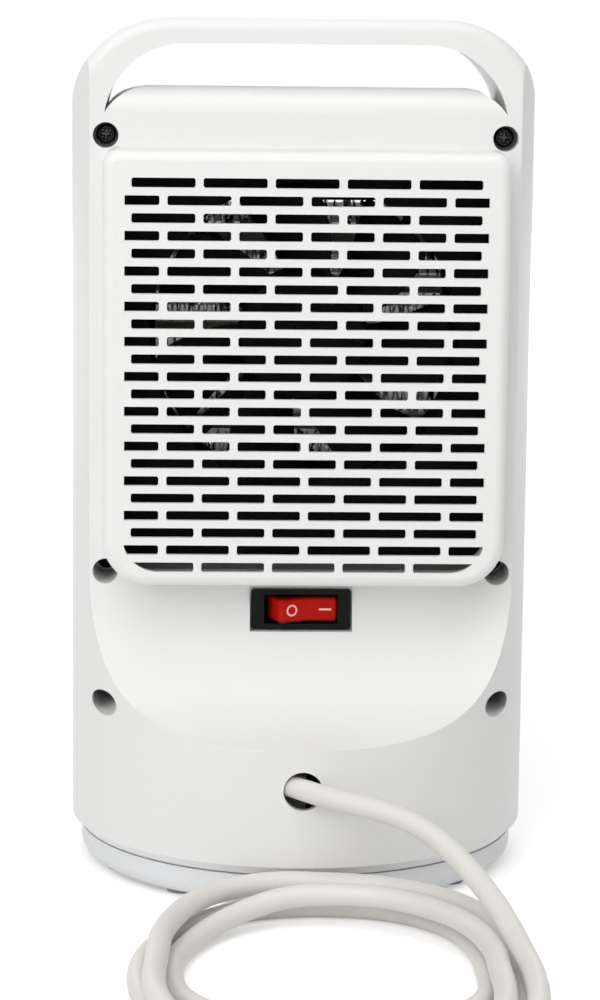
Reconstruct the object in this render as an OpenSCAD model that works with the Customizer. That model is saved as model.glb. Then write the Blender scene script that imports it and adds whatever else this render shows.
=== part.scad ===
// Free-standing ceramic fan heater with a bow handle, seen from its intake side.
// The round body turns on its foot. Origin: on the turning axis, at floor level.
// +Z is up, the air leaves towards -Y and enters from +Y. Lengths are in millimetres.

/* [Body] */
// Diameter of the round body
body_d = 147.2; // [144:0.2:150]
// Height from the floor to the top of the handle
body_h = 273.6; // [270:0.2:280]
// Height of the lower rim of the body above the floor
rim_z = 14.5; // [13.5:0.1:15.5]
// Thickness of the moulded walls
wall = 2.4; // [2:0.1:2.8]
// Distance of the flat back from the turning axis
back_flat = 30; // [28:0.5:32]
// Distance of the flat front from the turning axis
front_flat = 25; // [24:0.5:27]
// Distance of the parting plane in front of the turning axis
parting = 19; // [17:0.5:20]
// Radius of the hollow that runs from each flat into the round foot of the body
scoop_r = 50; // [46:0.5:52]
// Height at which the hollows start
scoop_z = 101.3; // [99:0.1:104]

/* [Handle and crown] */
// Radius of the upper corners, seen from the front
corner_r = 31; // [28:0.5:33]
// Radius of the rolled outer edges of the bow
edge_r = 4; // [3:0.25:5]
// Height of the bow above the finger gap
bow_h = 8; // [7:0.25:9.5]
// Width of the two posts of the bow
post_w = 10.6; // [9.6:0.2:11.6]
// Radius of the upper corners of the finger gap
gap_r = 25.7; // [23:0.1:27]
// Height of the crown between the posts
crown_z = 252.2; // [250:0.1:254]
// Radius of the shoulders of the crown
shoulder_r = 17.3; // [15:0.1:19]
// Radius of the rear edge of the crown
crown_edge_r = 8; // [6:0.25:10]
// Fall of the crown towards the front, in degrees
crown_tilt = 8; // [6:0.5:10]

/* [Grilles] */
// Width of the intake grille
intake_w = 125.4; // [122:0.2:126]
// Height of the intake grille
intake_h = 135.6; // [133:0.2:136]
// Height of the lower edge of both grilles above the floor
grille_z = 98.3; // [97:0.1:99]
// Depth by which the intake grille stands proud of the flat back
intake_proud = 20; // [17:0.5:23]
// Depth by which the outlet grille stands proud of the flat front
outlet_proud = 20; // [18:0.5:23]
// Thickness of the grille walls
grille_wall = 1.8; // [1.5:0.1:2.2]
// Radius of the rolled front edge of the grilles
grille_edge_r = 3.5; // [3:0.1:4]
// Corner radius at the foot of the grilles
grille_low_r = 14.6; // [12:0.1:17]
// Corner radius at the top of the grilles
grille_top_r = 5; // [4.5:0.1:6]
// Distance between slots of one row
slot_pitch = 22; // [21.6:0.1:22.2]
// Width of the webs between slots
slot_web = 2.45; // [2:0.05:3]
// Distance between rows of slots
row_pitch = 5.43; // [5.3:0.01:5.45]
// Height of a slot
slot_h = 3; // [2.6:0.1:3.2]
// Number of rows of slots
rows = 23; // [19:1:23]
// Distance from the top of the grille to the middle of the first row
first_row = 9.9; // [9:0.1:10.5]
// Thickness of a louvre of the outlet grille
louvre_t = 1.6; // [1.2:0.1:2]
// Rise of the louvres towards the front, in degrees
louvre_tilt = 32; // [20:1:36]
// Number of louvres of the outlet grille
louvres = 15; // [11:1:16]

/* [Mains switch] */
// Width of the switch bezel
bezel_w = 31.7; // [31:0.1:33]
// Height of the switch bezel
bezel_h = 12.8; // [12.6:0.1:13.6]
// Thickness of the switch bezel
bezel_t = 2; // [1.8:0.1:2.4]
// Height of the middle of the switch above the floor
switch_z = 87.6; // [87:0.1:88.5]
// Tilt of the rocker to each side, in degrees
rocker_tilt = 12; // [10:0.5:12]

/* [Fan] */
// Height of the fan axis above the lower edge of the grille, as a part of the grille's height
fan_at = 0.558; // [0.545:0.001:0.565]
// Radius over the blade tips
blade_tip_r = 47.5; // [46:0.1:48]
// Radius of the fan hub
hub_r = 20.5; // [19:0.1:21]
// Depth of the fan hub
hub_depth = 15; // [14:0.5:15.5]
// Number of blades
blades = 7; // [5:1:9]
// Pitch of the blades, in degrees
blade_pitch = 40; // [30:1:44]
// Thickness of a blade
blade_t = 1.5; // [1.2:0.1:1.8]
// Gap between the blade tips and the duct
tip_gap = 1.4; // [1:0.1:2]
// Radius of the motor can
motor_r = 17; // [15:0.5:17.5]
// Length of the motor can
motor_l = 19; // [17:0.5:20]
// Radius of the motor shaft
shaft_r = 1.5; // [1.2:0.1:1.7]

/* [Heating element] */
// Height of the heating element above the lower edge of the grille, as a part of its height
heater_at = 0.529; // [0.515:0.001:0.535]
// Width of the heating element
heater_w = 94; // [88:1:96]
// Depth of the heating element
heater_d = 10; // [9:0.5:11]
// Number of fin strips
fin_rows = 6; // [4:1:6]
// Height of a fin strip
fin_h = 10.2; // [9:0.1:10.4]
// Height of a ceramic bar
bar_h = 5; // [4:0.1:5.2]
// Folds in a fin strip
fin_folds = 44; // [20:2:50]
// Thickness of the fin sheet
fin_t = 0.35; // [0.3:0.05:0.5]

/* [Foot] */
// Distance of the edge of the foot inside the side of the body
foot_inset = 3; // [2.6:0.1:4.6]
// Height of the top of the foot above the floor
foot_z = 10.9; // [10.4:0.1:11.2]
// Thickness of the rubber pads
pad_t = 1.5; // [1.2:0.1:2]
// Number of rubber pads
pads = 12; // [3:1:12]
// Module of the swing gears
gear_module = 1.5; // [1.4:0.02:1.5]
// Teeth on the fixed gear of the foot
ring_teeth = 36; // [36:1:36]
// Teeth on the pinion of the swing motor
pinion_teeth = 12; // [12:1:12]

/* [Screws] */
// Radius of the deep screw holes in the back
screw_hole_r = 4; // [3.6:0.1:4.2]
// Distance of the screw holes from the middle plane
screw_x = 62.2; // [61.6:0.1:62.6]
// Height of the upper screws above the floor
screw_top_z = 237; // [236.6:0.1:238]
// Height of the middle screws above the floor
screw_mid_z = 99.3; // [98:0.1:100]
// Height of the lower screws above the floor
screw_low_z = 58.7; // [57:0.1:60]

/* [Cord] */
// Diameter of the mains cord
cord_d = 6.8; // [6:0.1:7.2]
// Height of the cord hole above the floor
cord_z = 38.9; // [38:0.1:40]
// Diameter of the cord hole
cord_hole_d = 12.2; // [11:0.1:14]

/* [Hidden] */
$fn = 64;
play = 0.2;                             // seating clearance
running = 0.12;                         // clearance round a turning shaft
body_r = body_d / 2;
reach = 2 * body_d;                     // longer than anything that it cuts
flush = 0.1;                            // keeps faces that would only touch clear of each other
gap_z = crown_z - shoulder_r;           // height of the arc centres of the crown shoulders
crown_half = body_r - post_w + 2.3;     // the crown runs a little into the posts
grille_top = grille_z + intake_h;
fan_z = grille_z + fan_at * intake_h;
heater_z = grille_z + heater_at * intake_h;
foot_r = body_r - foot_inset;
white = "whitesmoke";
black = [0.1, 0.1, 0.11];

// Mains cord. It leaves the clamp in the body and comes down to the floor on the right.
free_route = [
    [9.5, 44, 39], [9.5, 52, 39], [8.5, 59.5, 39], [5, 67, 39.5], [0, 73.5, 39.5],
    [-6.5, 79.5, 39], [-14.5, 85.5, 38.5], [-24, 91, 37.5], [-34, 98, 35], [-43, 107, 30],
    [-50, 117, 24.5], [-55, 128, 20], [-58.5, 140, 16], [-61, 153, 13], [-62.5, 165.5, 11.5],
    [-62.5, 173, 11]];
// Three loose loops beside the foot, the first of them on top of the others behind
loop_route = [
    [-62.5, 173, 11], [-62.5, 180.5, 10.5], [-61, 191, 8.5], [-55.5, 201.5, 5.5], [-45.5, 208, 4],
    [-34, 210.5, 3.5], [-21, 211, 3.5], [-9, 211, 3.5], [3, 211, 3.5], [14, 210.5, 3.5],
    [25, 208, 4.5], [34.5, 202.5, 7], [41, 193, 10], [44, 181.5, 11.5], [44.5, 168, 11.5],
    [44, 155, 11.5], [43.5, 142, 11.5], [42.5, 129, 11.5], [39.5, 115.5, 11.5], [35, 102.5, 11.5],
    [28, 91, 11.5], [19, 83, 11.5], [7, 78.5, 11.5], [-7, 77.5, 11], [-20.5, 80, 11],
    [-33, 86, 11], [-44, 95.5, 11], [-52.5, 106.5, 10], [-57.5, 119, 6.5], [-60, 133, 4],
    [-61, 148, 3.5], [-61, 163, 3.5], [-60, 174, 3.5], [-56, 184.5, 3.5], [-48, 192.5, 3.5],
    [-37.5, 197.5, 3.5], [-25.5, 199, 3.5], [-13, 199, 3.5], [-0.5, 198.5, 3.5], [11.5, 197.5, 3.5],
    [23.5, 194.5, 3.5], [34, 188.5, 3.5], [42, 179, 3.5], [47, 167, 3.5], [49, 153, 3.5],
    [49, 139, 3.5], [47, 125.5, 3.5], [42.5, 112.5, 3.5], [35.5, 100, 3.5], [26.5, 89, 3.5],
    [15, 81, 3.5], [2, 77.5, 3.5], [-11.5, 77.5, 3.5], [-24, 80.5, 3.5], [-35, 87.5, 3.5],
    [-43.5, 98, 3.5], [-48.5, 111, 3.5], [-51, 125, 3.5], [-51.5, 139, 3.5], [-51.5, 153, 3.5],
    [-49.5, 165, 3.5], [-44.5, 175.5, 3.5], [-36, 183.5, 3.5], [-25.5, 188, 3.5], [-14, 189.5, 3.5],
    [-2, 189.5, 3.5], [9.5, 188, 3.5], [20.5, 184, 3.5], [30, 176.5, 3.5], [36, 166.5, 3.5],
    [39, 154, 3.5], [39.5, 140.5, 3.5], [38, 127.5, 3.5], [34, 115, 4], [27.5, 103, 5],
    [18, 93.5, 7], [6, 88.5, 9.5], [-7.5, 88, 10.5], [-20.5, 91, 11], [-32.5, 98, 11],
    [-42, 108.5, 11], [-48.5, 121.5, 11], [-52, 135, 11], [-53.5, 148, 11], [-53.5, 156, 11]];
// The tail passes over the loops and runs out to the plug
tail_route = [
    [-53.5, 156, 11], [-53.5, 164, 11], [-53.5, 177, 11], [-52.5, 191, 11.5], [-50.5, 204.5, 12],
    [-47.5, 217.5, 9.5], [-44.5, 230, 6], [-42, 242.5, 4.5], [-40.5, 255, 6], [-39.5, 267, 10.5],
    [-39, 279, 15.5], [-39, 290, 18.5], [-39, 298, 18.5]];
plug_r = 18.5;
plug_at = tail_route[len(tail_route) - 1];

// 2-D shapes drawn in X and Z, pushed through from y0 to y1
module from_front(y0, y1) {
    translate([0, y1, 0]) rotate([90, 0, 0]) linear_extrude(y1 - y0) children();
}

// 2-D shapes drawn in Y and Z, pushed through from x0 to x1
module from_side(x0, x1) {
    translate([x0, 0, 0]) rotate([90, 0, 90]) linear_extrude(x1 - x0) children();
}

// Round rod along Y
module rod_y(r, y0, y1) {
    translate([0, y1, 0]) rotate([90, 0, 0]) cylinder(r = r, h = y1 - y0);
}

// Round ring along Y
module ring_y(r_out, r_in, y0, y1) {
    difference() {
        rod_y(r_out, y0, y1);
        rod_y(r_in, y0 - 1, y1 + 1);
    }
}

// Rectangle standing on z0, with its two upper corners rounded
module arched_2d(half, z0, z1, r) {
    translate([-half, z0]) square([2 * half, z1 - r - z0]);
    translate([r - half, z0]) square([2 * (half - r), z1 - z0]);
    for (side = [-1, 1]) translate([side * (half - r), z1 - r]) circle(r);
}

// Rectangle with rounded lower and upper corners of two radii
module panel_2d(half, z0, z1, r_low, r_top) {
    middle = (z0 + z1) / 2;
    arched_2d(half, middle, z1, r_top);
    translate([0, 2 * middle]) mirror([0, 1]) arched_2d(half, middle, z1, r_low);
}

// Wall of the bow cut across its edge: x from the corner centre outwards, y to the back
module bow_edge_2d() {
    y0 = -front_flat;
    y1 = back_flat;
    translate([0, y0]) square([corner_r - edge_r, y1 - y0]);
    translate([0, y0 + edge_r]) square([corner_r, y1 - y0 - 2 * edge_r]);
    for (y = [y0 + edge_r, y1 - edge_r]) translate([corner_r - edge_r, y]) circle(edge_r);
}

// The bow and the flat-sided upper body: the edge is pushed up the sides, turned round
// the corners and pushed along the top
module bow_solid() {
    straight = body_r + flush - corner_r;
    low = body_h - corner_r;
    translate([-straight, -front_flat, rim_z])
        cube([2 * straight, front_flat + back_flat, low - rim_z]);
    translate([-straight, 0, low]) rotate([90, 0, 90])
        linear_extrude(2 * straight) rotate(90) mirror([0, 1]) bow_edge_2d();
    for (side = [0, 1]) mirror([side, 0, 0]) {
        translate([straight, 0, rim_z]) linear_extrude(low - rim_z) bow_edge_2d();
        translate([straight, 0, low]) rotate([-90, 0, 0]) rotate([0, 0, -90])
            rotate_extrude(angle = 90) bow_edge_2d();
    }
}

// The lower body seen from the side: round foot hollowed out below both flats
module scooped_2d(inset) {
    difference() {
        translate([-body_r - flush, rim_z]) square([body_d + 2 * flush, scoop_z - rim_z]);
        translate([back_flat - flush + scoop_r, scoop_z]) circle(scoop_r + inset, $fn = 128);
        translate([flush - front_flat - scoop_r, scoop_z]) circle(scoop_r + inset, $fn = 128);
    }
}

// The crown between the posts: rounded behind, falling towards the front
module crown_solid(inset) {
    rear_r = crown_edge_r - inset;
    front_r = crown_edge_r / 2 - inset / 2;
    rear_y = back_flat - inset - rear_r;
    rear_z = crown_z - crown_edge_r;
    front_y = -front_flat + inset + front_r;
    front_z = rear_z + (rear_r - front_r) / cos(crown_tilt) - (rear_y - front_y) * tan(crown_tilt);
    out = [-sin(crown_tilt), cos(crown_tilt)];
    foot = scoop_z;
    intersection() {
        from_front(-front_flat, back_flat)
            arched_2d(crown_half - inset, foot, crown_z - inset, shoulder_r - inset);
        from_side(-body_r, body_r) {
            polygon([[front_y - front_r, foot], [rear_y + rear_r, foot],
                     [rear_y + rear_r, rear_z], [rear_y, rear_z],
                     [rear_y, rear_z] + (rear_r - flush / 5) * out,
                     [front_y, front_z] + (front_r - flush / 5) * out,
                     [front_y, front_z], [front_y - front_r, front_z]]);
            translate([rear_y, rear_z]) circle(rear_r);
            translate([front_y, front_z]) circle(front_r);
        }
    }
}

// Outside of the two shells together
module body_outside() {
    intersection() {
        translate([0, 0, rim_z]) cylinder(r = body_r, h = body_h, $fn = 128);
        union() {
            difference() {
                bow_solid();
                from_front(-reach, reach) arched_2d(body_r - post_w, gap_z, body_h - bow_h, gap_r);
            }
            crown_solid(0);
            from_side(-body_r - flush, body_r + flush) scooped_2d(0);
        }
    }
}

// Inside of the two shells together
module body_inside() {
    intersection() {
        translate([0, 0, rim_z - 1]) cylinder(r = body_r - wall, h = body_h, $fn = 128);
        union() {
            from_side(-body_r, body_r)
                translate([-front_flat + wall, rim_z - 1])
                square([front_flat + back_flat - 2 * wall, gap_z - rim_z + 1]);
            crown_solid(wall);
            from_side(-body_r, body_r) scooped_2d(wall);
            translate([0, 0, rim_z - 1]) cylinder(r = body_r - wall, h = 2, $fn = 128);
        }
    }
}

screw_places = [[screw_x, screw_top_z, back_flat - 8], [-screw_x, screw_top_z, back_flat - 8],
                [screw_x, screw_mid_z, 8], [-screw_x, screw_mid_z, 8],
                [screw_x, screw_low_z, 8], [-screw_x, screw_low_z, 8]];
boss_r = screw_hole_r + 1.7;
pin_boss_r = screw_hole_r + 0.4;
screw_shank_r = 1.5;
screw_head_r = 3.4;
screw_head_h = 2.4;
air_w = intake_w - 9.4;                 // clear width of the air way
air_r = 8;
air_z0 = grille_z + 4.6;
air_z1 = grille_top - 7;
// Places of the four screws that hold the fan shroud
shroud_places = [for (x = [12 - air_w / 2, air_w / 2 - 12], z = [air_z0 - 3, air_z1 + 3]) [x, z]];
duct_w = heater_w + 9;                  // opening for the heating element
duct_h = fin_rows * fin_h + (fin_rows - 1) * bar_h + 9;
bezel_recess = 0.4;
pocket_half = bezel_w / 2 + bezel_recess;
pocket_z0 = switch_z - bezel_h / 2 - bezel_recess;
pocket_z1 = switch_z + bezel_h / 2 + bezel_recess;
bezel_r = 0.9;
switch_body_w = 27.2;
switch_body_h = 12.2;
pilot_r = 1.2;
crown_mid_y = 2;
crown_slope_z = crown_z - crown_edge_r + crown_edge_r / cos(crown_tilt)
    - (back_flat - crown_edge_r - crown_mid_y) * tan(crown_tilt);
panel_l = 84;
panel_w = 24;
button_r = 5.6;
button_gap = 22;

// Turns and lifts children from the origin onto the falling crown
module on_crown() {
    translate([0, crown_mid_y, crown_slope_z]) rotate([crown_tilt, 0, 0]) children();
}

module screw_bores() {
    for (p = screw_places) translate([p[0], 0, p[1]]) {
        rod_y(screw_hole_r, p[2], reach);
        rod_y(screw_shank_r + play, -parting - 1, p[2] + 1);
    }
}

module rear_shell() color(white) difference() {
    intersection() {
        union() {
            difference() {
                body_outside();
                body_inside();
            }
            // deep tubes for the screws and a backing for the switch
            intersection() {
                body_outside();
                union() {
                    for (p = screw_places) translate([p[0], 0, p[1]]) rod_y(boss_r, -parting, body_r);
                    translate([-pocket_half - wall, back_flat - wall, pocket_z0 - wall])
                        cube([2 * (pocket_half + wall), scoop_r / 2, pocket_z1 - pocket_z0 + 2 * wall]);
                }
            }
        }
        translate([-reach / 2, -parting, 0]) cube([reach, reach, body_h + 1]);
    }
    screw_bores();
    from_front(back_flat - wall - 1, back_flat + 1)
        panel_2d(air_w / 2, air_z0, air_z1, air_r, air_r);
    for (p = shroud_places) translate([p[0], 0, p[1]])
        rod_y(pilot_r, back_flat - wall - 1, back_flat - 0.6);
    // pocket and window for the mains switch
    translate([-pocket_half, back_flat, pocket_z0])
        cube([2 * pocket_half, body_r, pocket_z1 - pocket_z0]);
    translate([-switch_body_w / 2 - play, back_flat - wall - 1, switch_z - switch_body_h / 2 - play])
        cube([switch_body_w + 2 * play, wall + 2, switch_body_h + 2 * play]);
    translate([0, 0, cord_z]) rod_y(cord_hole_d / 2, body_r / 2, body_r + 1);
    // window for the control panel
    on_crown() translate([-panel_l / 2 - play, -panel_w / 2 - play, -wall - 2])
        cube([panel_l + 2 * play, panel_w + 2 * play, wall + 4]);
}

module front_shell() color(white) difference() {
    intersection() {
        union() {
            difference() {
                body_outside();
                body_inside();
            }
            intersection() {
                body_outside();
                for (p = screw_places) translate([p[0], 0, p[1]]) rod_y(pin_boss_r, -body_r, -parting);
            }
        }
        translate([-reach / 2, -parting - reach, 0]) cube([reach, reach, body_h + 1]);
    }
    for (p = screw_places) translate([p[0], 0, p[1]]) rod_y(screw_shank_r, -parting - 5, -parting + 1);
    // seam between the two shells, which touch at the bosses only
    difference() {
        translate([-reach / 2, -parting - play, 0]) cube([reach, play + 1, body_h + 1]);
        for (p = screw_places) translate([p[0], 0, p[1]]) rod_y(pin_boss_r, -parting - 2, -parting + 2);
    }
    from_front(-front_flat - 1, -front_flat + wall + 1)
        panel_2d(duct_w / 2 + play, heater_z - duct_h / 2 - play, heater_z + duct_h / 2 + play, 4, 4);
}

// Open box with rolled edges that stands on a flat and closes towards +Y.
// The rim is one wall profile, pushed along the sides and turned round the corners.
module rim_profile_2d(depth) {
    difference() {
        union() {
            translate([-grille_edge_r, 0]) square([grille_edge_r, depth - grille_edge_r]);
            translate([-grille_edge_r, depth - grille_edge_r]) intersection() {
                circle(grille_edge_r);
                square(grille_edge_r);
            }
        }
        translate([-grille_edge_r - 1, -1])
            square([grille_edge_r + 1 - grille_wall, depth + 1 - grille_wall]);
    }
}

module rim(depth) {
    half = intake_w / 2;
    // [x, z, radius, start angle] of the four corners
    corners = [[half - grille_top_r, grille_top - grille_top_r, grille_top_r, 0],
               [grille_top_r - half, grille_top - grille_top_r, grille_top_r, 90],
               [grille_low_r - half, grille_z + grille_low_r, grille_low_r, 180],
               [half - grille_low_r, grille_z + grille_low_r, grille_low_r, 270]];
    for (c = corners) translate([c[0], 0, c[1]]) rotate([-90, 0, 0]) rotate([0, 0, -c[3] - 90])
        rotate_extrude(angle = 90) translate([c[2], 0]) rim_profile_2d(depth);
    for (side = [-1, 1]) {
        // upright runs
        translate([0, 0, grille_z + grille_low_r]) mirror([side < 0 ? 1 : 0, 0, 0])
            linear_extrude(intake_h - grille_low_r - grille_top_r)
            translate([half, 0]) rim_profile_2d(depth);
    }
    // upper and lower runs
    translate([grille_top_r - half, 0, grille_top]) rotate([90, 0, 90])
        linear_extrude(intake_w - 2 * grille_top_r) rotate(90) mirror([0, 1]) rim_profile_2d(depth);
    translate([grille_low_r - half, 0, grille_z]) mirror([0, 0, 1]) rotate([90, 0, 90])
        linear_extrude(intake_w - 2 * grille_low_r) rotate(90) mirror([0, 1]) rim_profile_2d(depth);
}

field_half = 2.54 * slot_pitch;          // the slots end here, in half slots on every other row
field_z0 = grille_top - first_row - (rows - 1) * row_pitch - slot_h / 2;
field_r = 11;

// Outline of the flat face inside the rolled edge, shrunk by inset
module face_2d(inset) {
    panel_2d(intake_w / 2 - inset, grille_z + inset, grille_top - inset,
             grille_low_r - inset, max(grille_top_r - inset, 0.5));
}

module slots_2d() {
    slot_l = slot_pitch - slot_web;
    cut = 0.45;                          // cut off the corners of a slot
    slot_outline = [for (s = [[1, 1], [-1, 1], [-1, -1], [1, -1]], first = [true, false])
        let (long_cut = first == (s[0] == s[1]))
        [s[0] * (slot_l / 2 - (long_cut ? 0 : cut)), s[1] * (slot_h / 2 - (long_cut ? cut : 0))]];
    for (row = [0 : rows - 1]) {
        shift = row % 2 == 0 ? 0 : slot_pitch / 2;
        for (k = [-3 : 3])
            translate([k * slot_pitch + shift, grille_top - first_row - row * row_pitch])
                polygon(slot_outline);
    }
}

module intake_grille() color(white) translate([0, back_flat, 0]) {
    rim(intake_proud);
    from_front(intake_proud - grille_wall, intake_proud) difference() {
        face_2d(grille_edge_r - 0.4);
        intersection() {
            slots_2d();
            panel_2d(field_half + 0.5, field_z0, grille_top, field_r, field_r);
            translate([-field_half, field_z0]) square([2 * field_half, intake_h]);
        }
    }
}

module outlet_grille() color(white) mirror([0, 1, 0]) translate([0, front_flat, 0]) {
    open_half = duct_w / 2 - 2;
    open_z0 = heater_z - duct_h / 2 + 2;
    open_z1 = heater_z + duct_h / 2 - 2;
    step = (open_z1 - open_z0 - louvre_t) / (louvres + 1);
    // the louvres end just clear of the heater frame
    louvre_d = (heater_y - heater_d + front_flat + outlet_proud - 3.8) / cos(louvre_tilt);
    rim(outlet_proud);
    from_front(outlet_proud - grille_wall, outlet_proud) difference() {
        face_2d(grille_edge_r - 0.4);
        panel_2d(open_half, open_z0, open_z1, 6, 6);
    }
    // louvres that rise towards the front, and two upright ties
    for (k = [1 : louvres]) translate([0, outlet_proud - 1.2, open_z0 + k * step + louvre_t])
        rotate([louvre_tilt, 0, 0]) translate([-open_half - 1, -louvre_d, -louvre_t / 2])
        cube([2 * open_half + 2, louvre_d, louvre_t]);
    from_front(outlet_proud - grille_wall - 2, outlet_proud - 0.6)
        for (x = [-open_half / 3, open_half / 3])
            translate([x - 1, open_z0 - 1]) square([2, open_z1 - open_z0 + 2]);
}

module control_panel() color(black) on_crown() difference() {
    union() {
        translate([-panel_l / 2, -panel_w / 2, -wall - 1]) cube([panel_l, panel_w, wall + 1]);
        translate([-panel_l / 2 - 2, -panel_w / 2 - 2, -wall - flush - 1.2])
            cube([panel_l + 4, panel_w + 4, 1.2]);
        for (side = [-1, 1]) translate([side * (panel_l / 2 - 4), 0, -wall - 6.2]) cylinder(r = 2.5, h = 6);
    }
    for (k = [-1 : 1]) translate([k * button_gap, 0, -wall - 2]) cylinder(r = button_r + play, h = wall + 3);
}

button_press = 0.8;
// Push button with a retaining skirt and a stem that works the key below
module push_button() on_crown() {
    translate([0, 0, -wall - 0.6]) cylinder(r = button_r, h = wall + 1.6);
    translate([0, 0, -wall - 2.4]) cylinder(r = button_r + 1, h = 1);
    translate([0, 0, -wall - 2.2]) cylinder(r = button_r, h = 2);
    translate([0, 0, -wall - 4.9]) cylinder(r = 1.5, h = 4);
}

module power_button() color("white") translate([-button_gap, 0, 0]) push_button();
module swing_button() color("white") push_button();
module timer_button() color("white") translate([button_gap, 0, 0]) push_button();

board_drop = wall + 6.2;
module control_board() color("darkgreen") on_crown()
    translate([-panel_l / 2, -panel_w / 2 + 1, -board_drop - 1.6]) cube([panel_l, panel_w - 2, 1.6]);

module key_switches() color(black) on_crown() for (k = [-1 : 1])
    translate([k * button_gap, 0, -board_drop]) difference() {
        translate([-3, -3, 0]) cube([6, 6, 3.6 - button_press]);
        translate([0, 0, 0.4]) cylinder(r = 1.5 + play, h = 4);
    }

pivot_drop = 9.5;                       // rocker pivot below the face of the bezel
rocker_top = 11.5;                      // rocker end above its pivot, in the middle position
rocker_half = 9.3;
window_half = 11.7;
rocker_h = 9;
pivot_y = back_flat + bezel_t - pivot_drop;
trunnion_r = 1.5;

module switch_housing() color(black) translate([0, 0, switch_z]) difference() {
    union() {
        from_front(back_flat, back_flat + bezel_t)
            panel_2d(bezel_w / 2, -bezel_h / 2, bezel_h / 2, bezel_r, bezel_r);
        translate([-switch_body_w / 2, back_flat - 16, -switch_body_h / 2])
            cube([switch_body_w, 16, switch_body_h]);
    }
    translate([-window_half, pivot_y - 6, -rocker_h / 2 - play])
        cube([2 * window_half, 40, rocker_h + 2 * play]);
    translate([0, pivot_y, 0]) cylinder(r = trunnion_r + 0.1, h = rocker_h + 2, center = true);
}

module rocker() color("firebrick") translate([0, pivot_y, switch_z]) rotate([0, 0, rocker_tilt]) {
    toe = 2;
    toe_half = rocker_half + (rocker_top - toe) * tan(rocker_tilt);
    translate([0, 0, -rocker_h / 2]) linear_extrude(rocker_h)
        polygon([[0, rocker_top - rocker_half * tan(rocker_tilt)], [-rocker_half, rocker_top],
                 [-toe_half, toe], [-5, -3], [5, -3], [toe_half, toe], [rocker_half, rocker_top]]);
    cylinder(r = trunnion_r, h = rocker_h + 1.6, center = true);
}

module switch_terminals() color("goldenrod") translate([0, back_flat - 16, switch_z])
    for (x = [-9, 0, 9]) translate([x - 0.4, -8, -2.4]) cube([0.8, 8, 4.8]);

duct_r = blade_tip_r + tip_gap;
shroud_y = back_flat - wall - play;     // rear face of the shroud plate
plate_t = 2.2;
hub_y = shroud_y - plate_t - 2;         // rear face of the fan hub
motor_y = hub_y - hub_depth - 1.2;      // rear end of the motor can
arm_t = 4;
rotor_r = motor_r - 6.6;

module fan_shroud() color(black) {
    difference() {
        union() {
            from_front(shroud_y - plate_t, shroud_y) {
                panel_2d(air_w / 2 + 4, air_z0 - 2.5, air_z1 + 4, air_r, air_r);
                for (p = shroud_places) translate(p) circle(4.5);
            }
            translate([0, 0, fan_z]) rod_y(duct_r + 2, motor_y - arm_t, shroud_y - 0.5, $fn = 96);
        }
        translate([0, 0, fan_z]) rod_y(duct_r, motor_y - arm_t - 1, shroud_y + 1, $fn = 96);
        for (p = shroud_places) translate([p[0], 0, p[1]])
            rod_y(1.5, shroud_y - plate_t - 1, shroud_y + 1);
        // clear of the tubes of the shell screws
        for (p = screw_places) translate([p[0], 0, p[1]])
            rod_y(boss_r + 2 * play, shroud_y - plate_t - 1, shroud_y + 1);
    }
    // motor cup on four arms
    translate([0, 0, fan_z]) difference() {
        union() {
            rod_y(motor_r + 2.2, motor_y - 12, motor_y);
            for (a = [45 : 90 : 315]) rotate([0, a, 0])
                translate([0, motor_y - arm_t + 0.5, -2.5]) cube([duct_r + 1, arm_t - 1, 5]);
        }
        rod_y(motor_r, motor_y - 13, motor_y + 1);
    }
}

module shroud_screws() color("dimgray")
    for (p = shroud_places) translate([p[0], 0, p[1]]) {
        rod_y(2.6, shroud_y - plate_t - 1.6, shroud_y - plate_t);
        rod_y(pilot_r - 0.05, shroud_y - plate_t - 0.5, back_flat - 0.8);
    }

module motor_can() color("silver") translate([0, 0, fan_z]) difference() {
    union() {
        rod_y(motor_r, motor_y - motor_l, motor_y);
        rod_y(4.6, motor_y - motor_l - 1.6, motor_y);
    }
    rod_y(motor_r - 1.4, motor_y - motor_l + 1.4, motor_y - 1.4);
    rod_y(3.5, motor_y - motor_l - 0.4, motor_y + 1);
}

module motor_stator() color("peru") translate([0, 0, fan_z])
    ring_y(motor_r - 1.5, rotor_r + 0.6, motor_y - motor_l + 4, motor_y - 4);

module motor_bearings() color("darkgoldenrod") translate([0, 0, fan_z]) {
    ring_y(3.4, shaft_r + running, motor_y - 3.4, motor_y);
    ring_y(3.4, shaft_r + running, motor_y - motor_l - 0.2, motor_y - motor_l + 3);
}

module motor_shaft() color("lightgray") translate([0, 0, fan_z])
    rod_y(shaft_r, motor_y - motor_l + 0.2, hub_y - 1.5);

module motor_rotor() color("gray") translate([0, 0, fan_z])
    ring_y(rotor_r, shaft_r + 0.02, motor_y - motor_l + 4, motor_y - 4);

// Axial fan: a cup hub with cambered, swept blades
module impeller() color([0.06, 0.06, 0.07]) translate([0, 0, fan_z]) {
    difference() {
        rod_y(hub_r, hub_y - hub_depth, hub_y);
        ring_y(hub_r - 1.8, 4.2, hub_y - hub_depth - 1, hub_y - 2.2);
        rod_y(shaft_r + 0.02, hub_y - hub_depth - 1, hub_y - 1.5);
    }
    camber_r = 34;
    blade_d = hub_depth - 1.5;
    intersection() {
        difference() {
            rod_y(blade_tip_r, hub_y - hub_depth + 0.7, hub_y - 0.8, $fn = 96);
            rod_y(hub_r - 0.6, hub_y - hub_depth - 1, hub_y + 1);
        }
        for (k = [0 : blades - 1]) rotate([0, k * 360 / blades + 14, 0])
            blade(camber_r, blade_d);
    }
}

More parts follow.
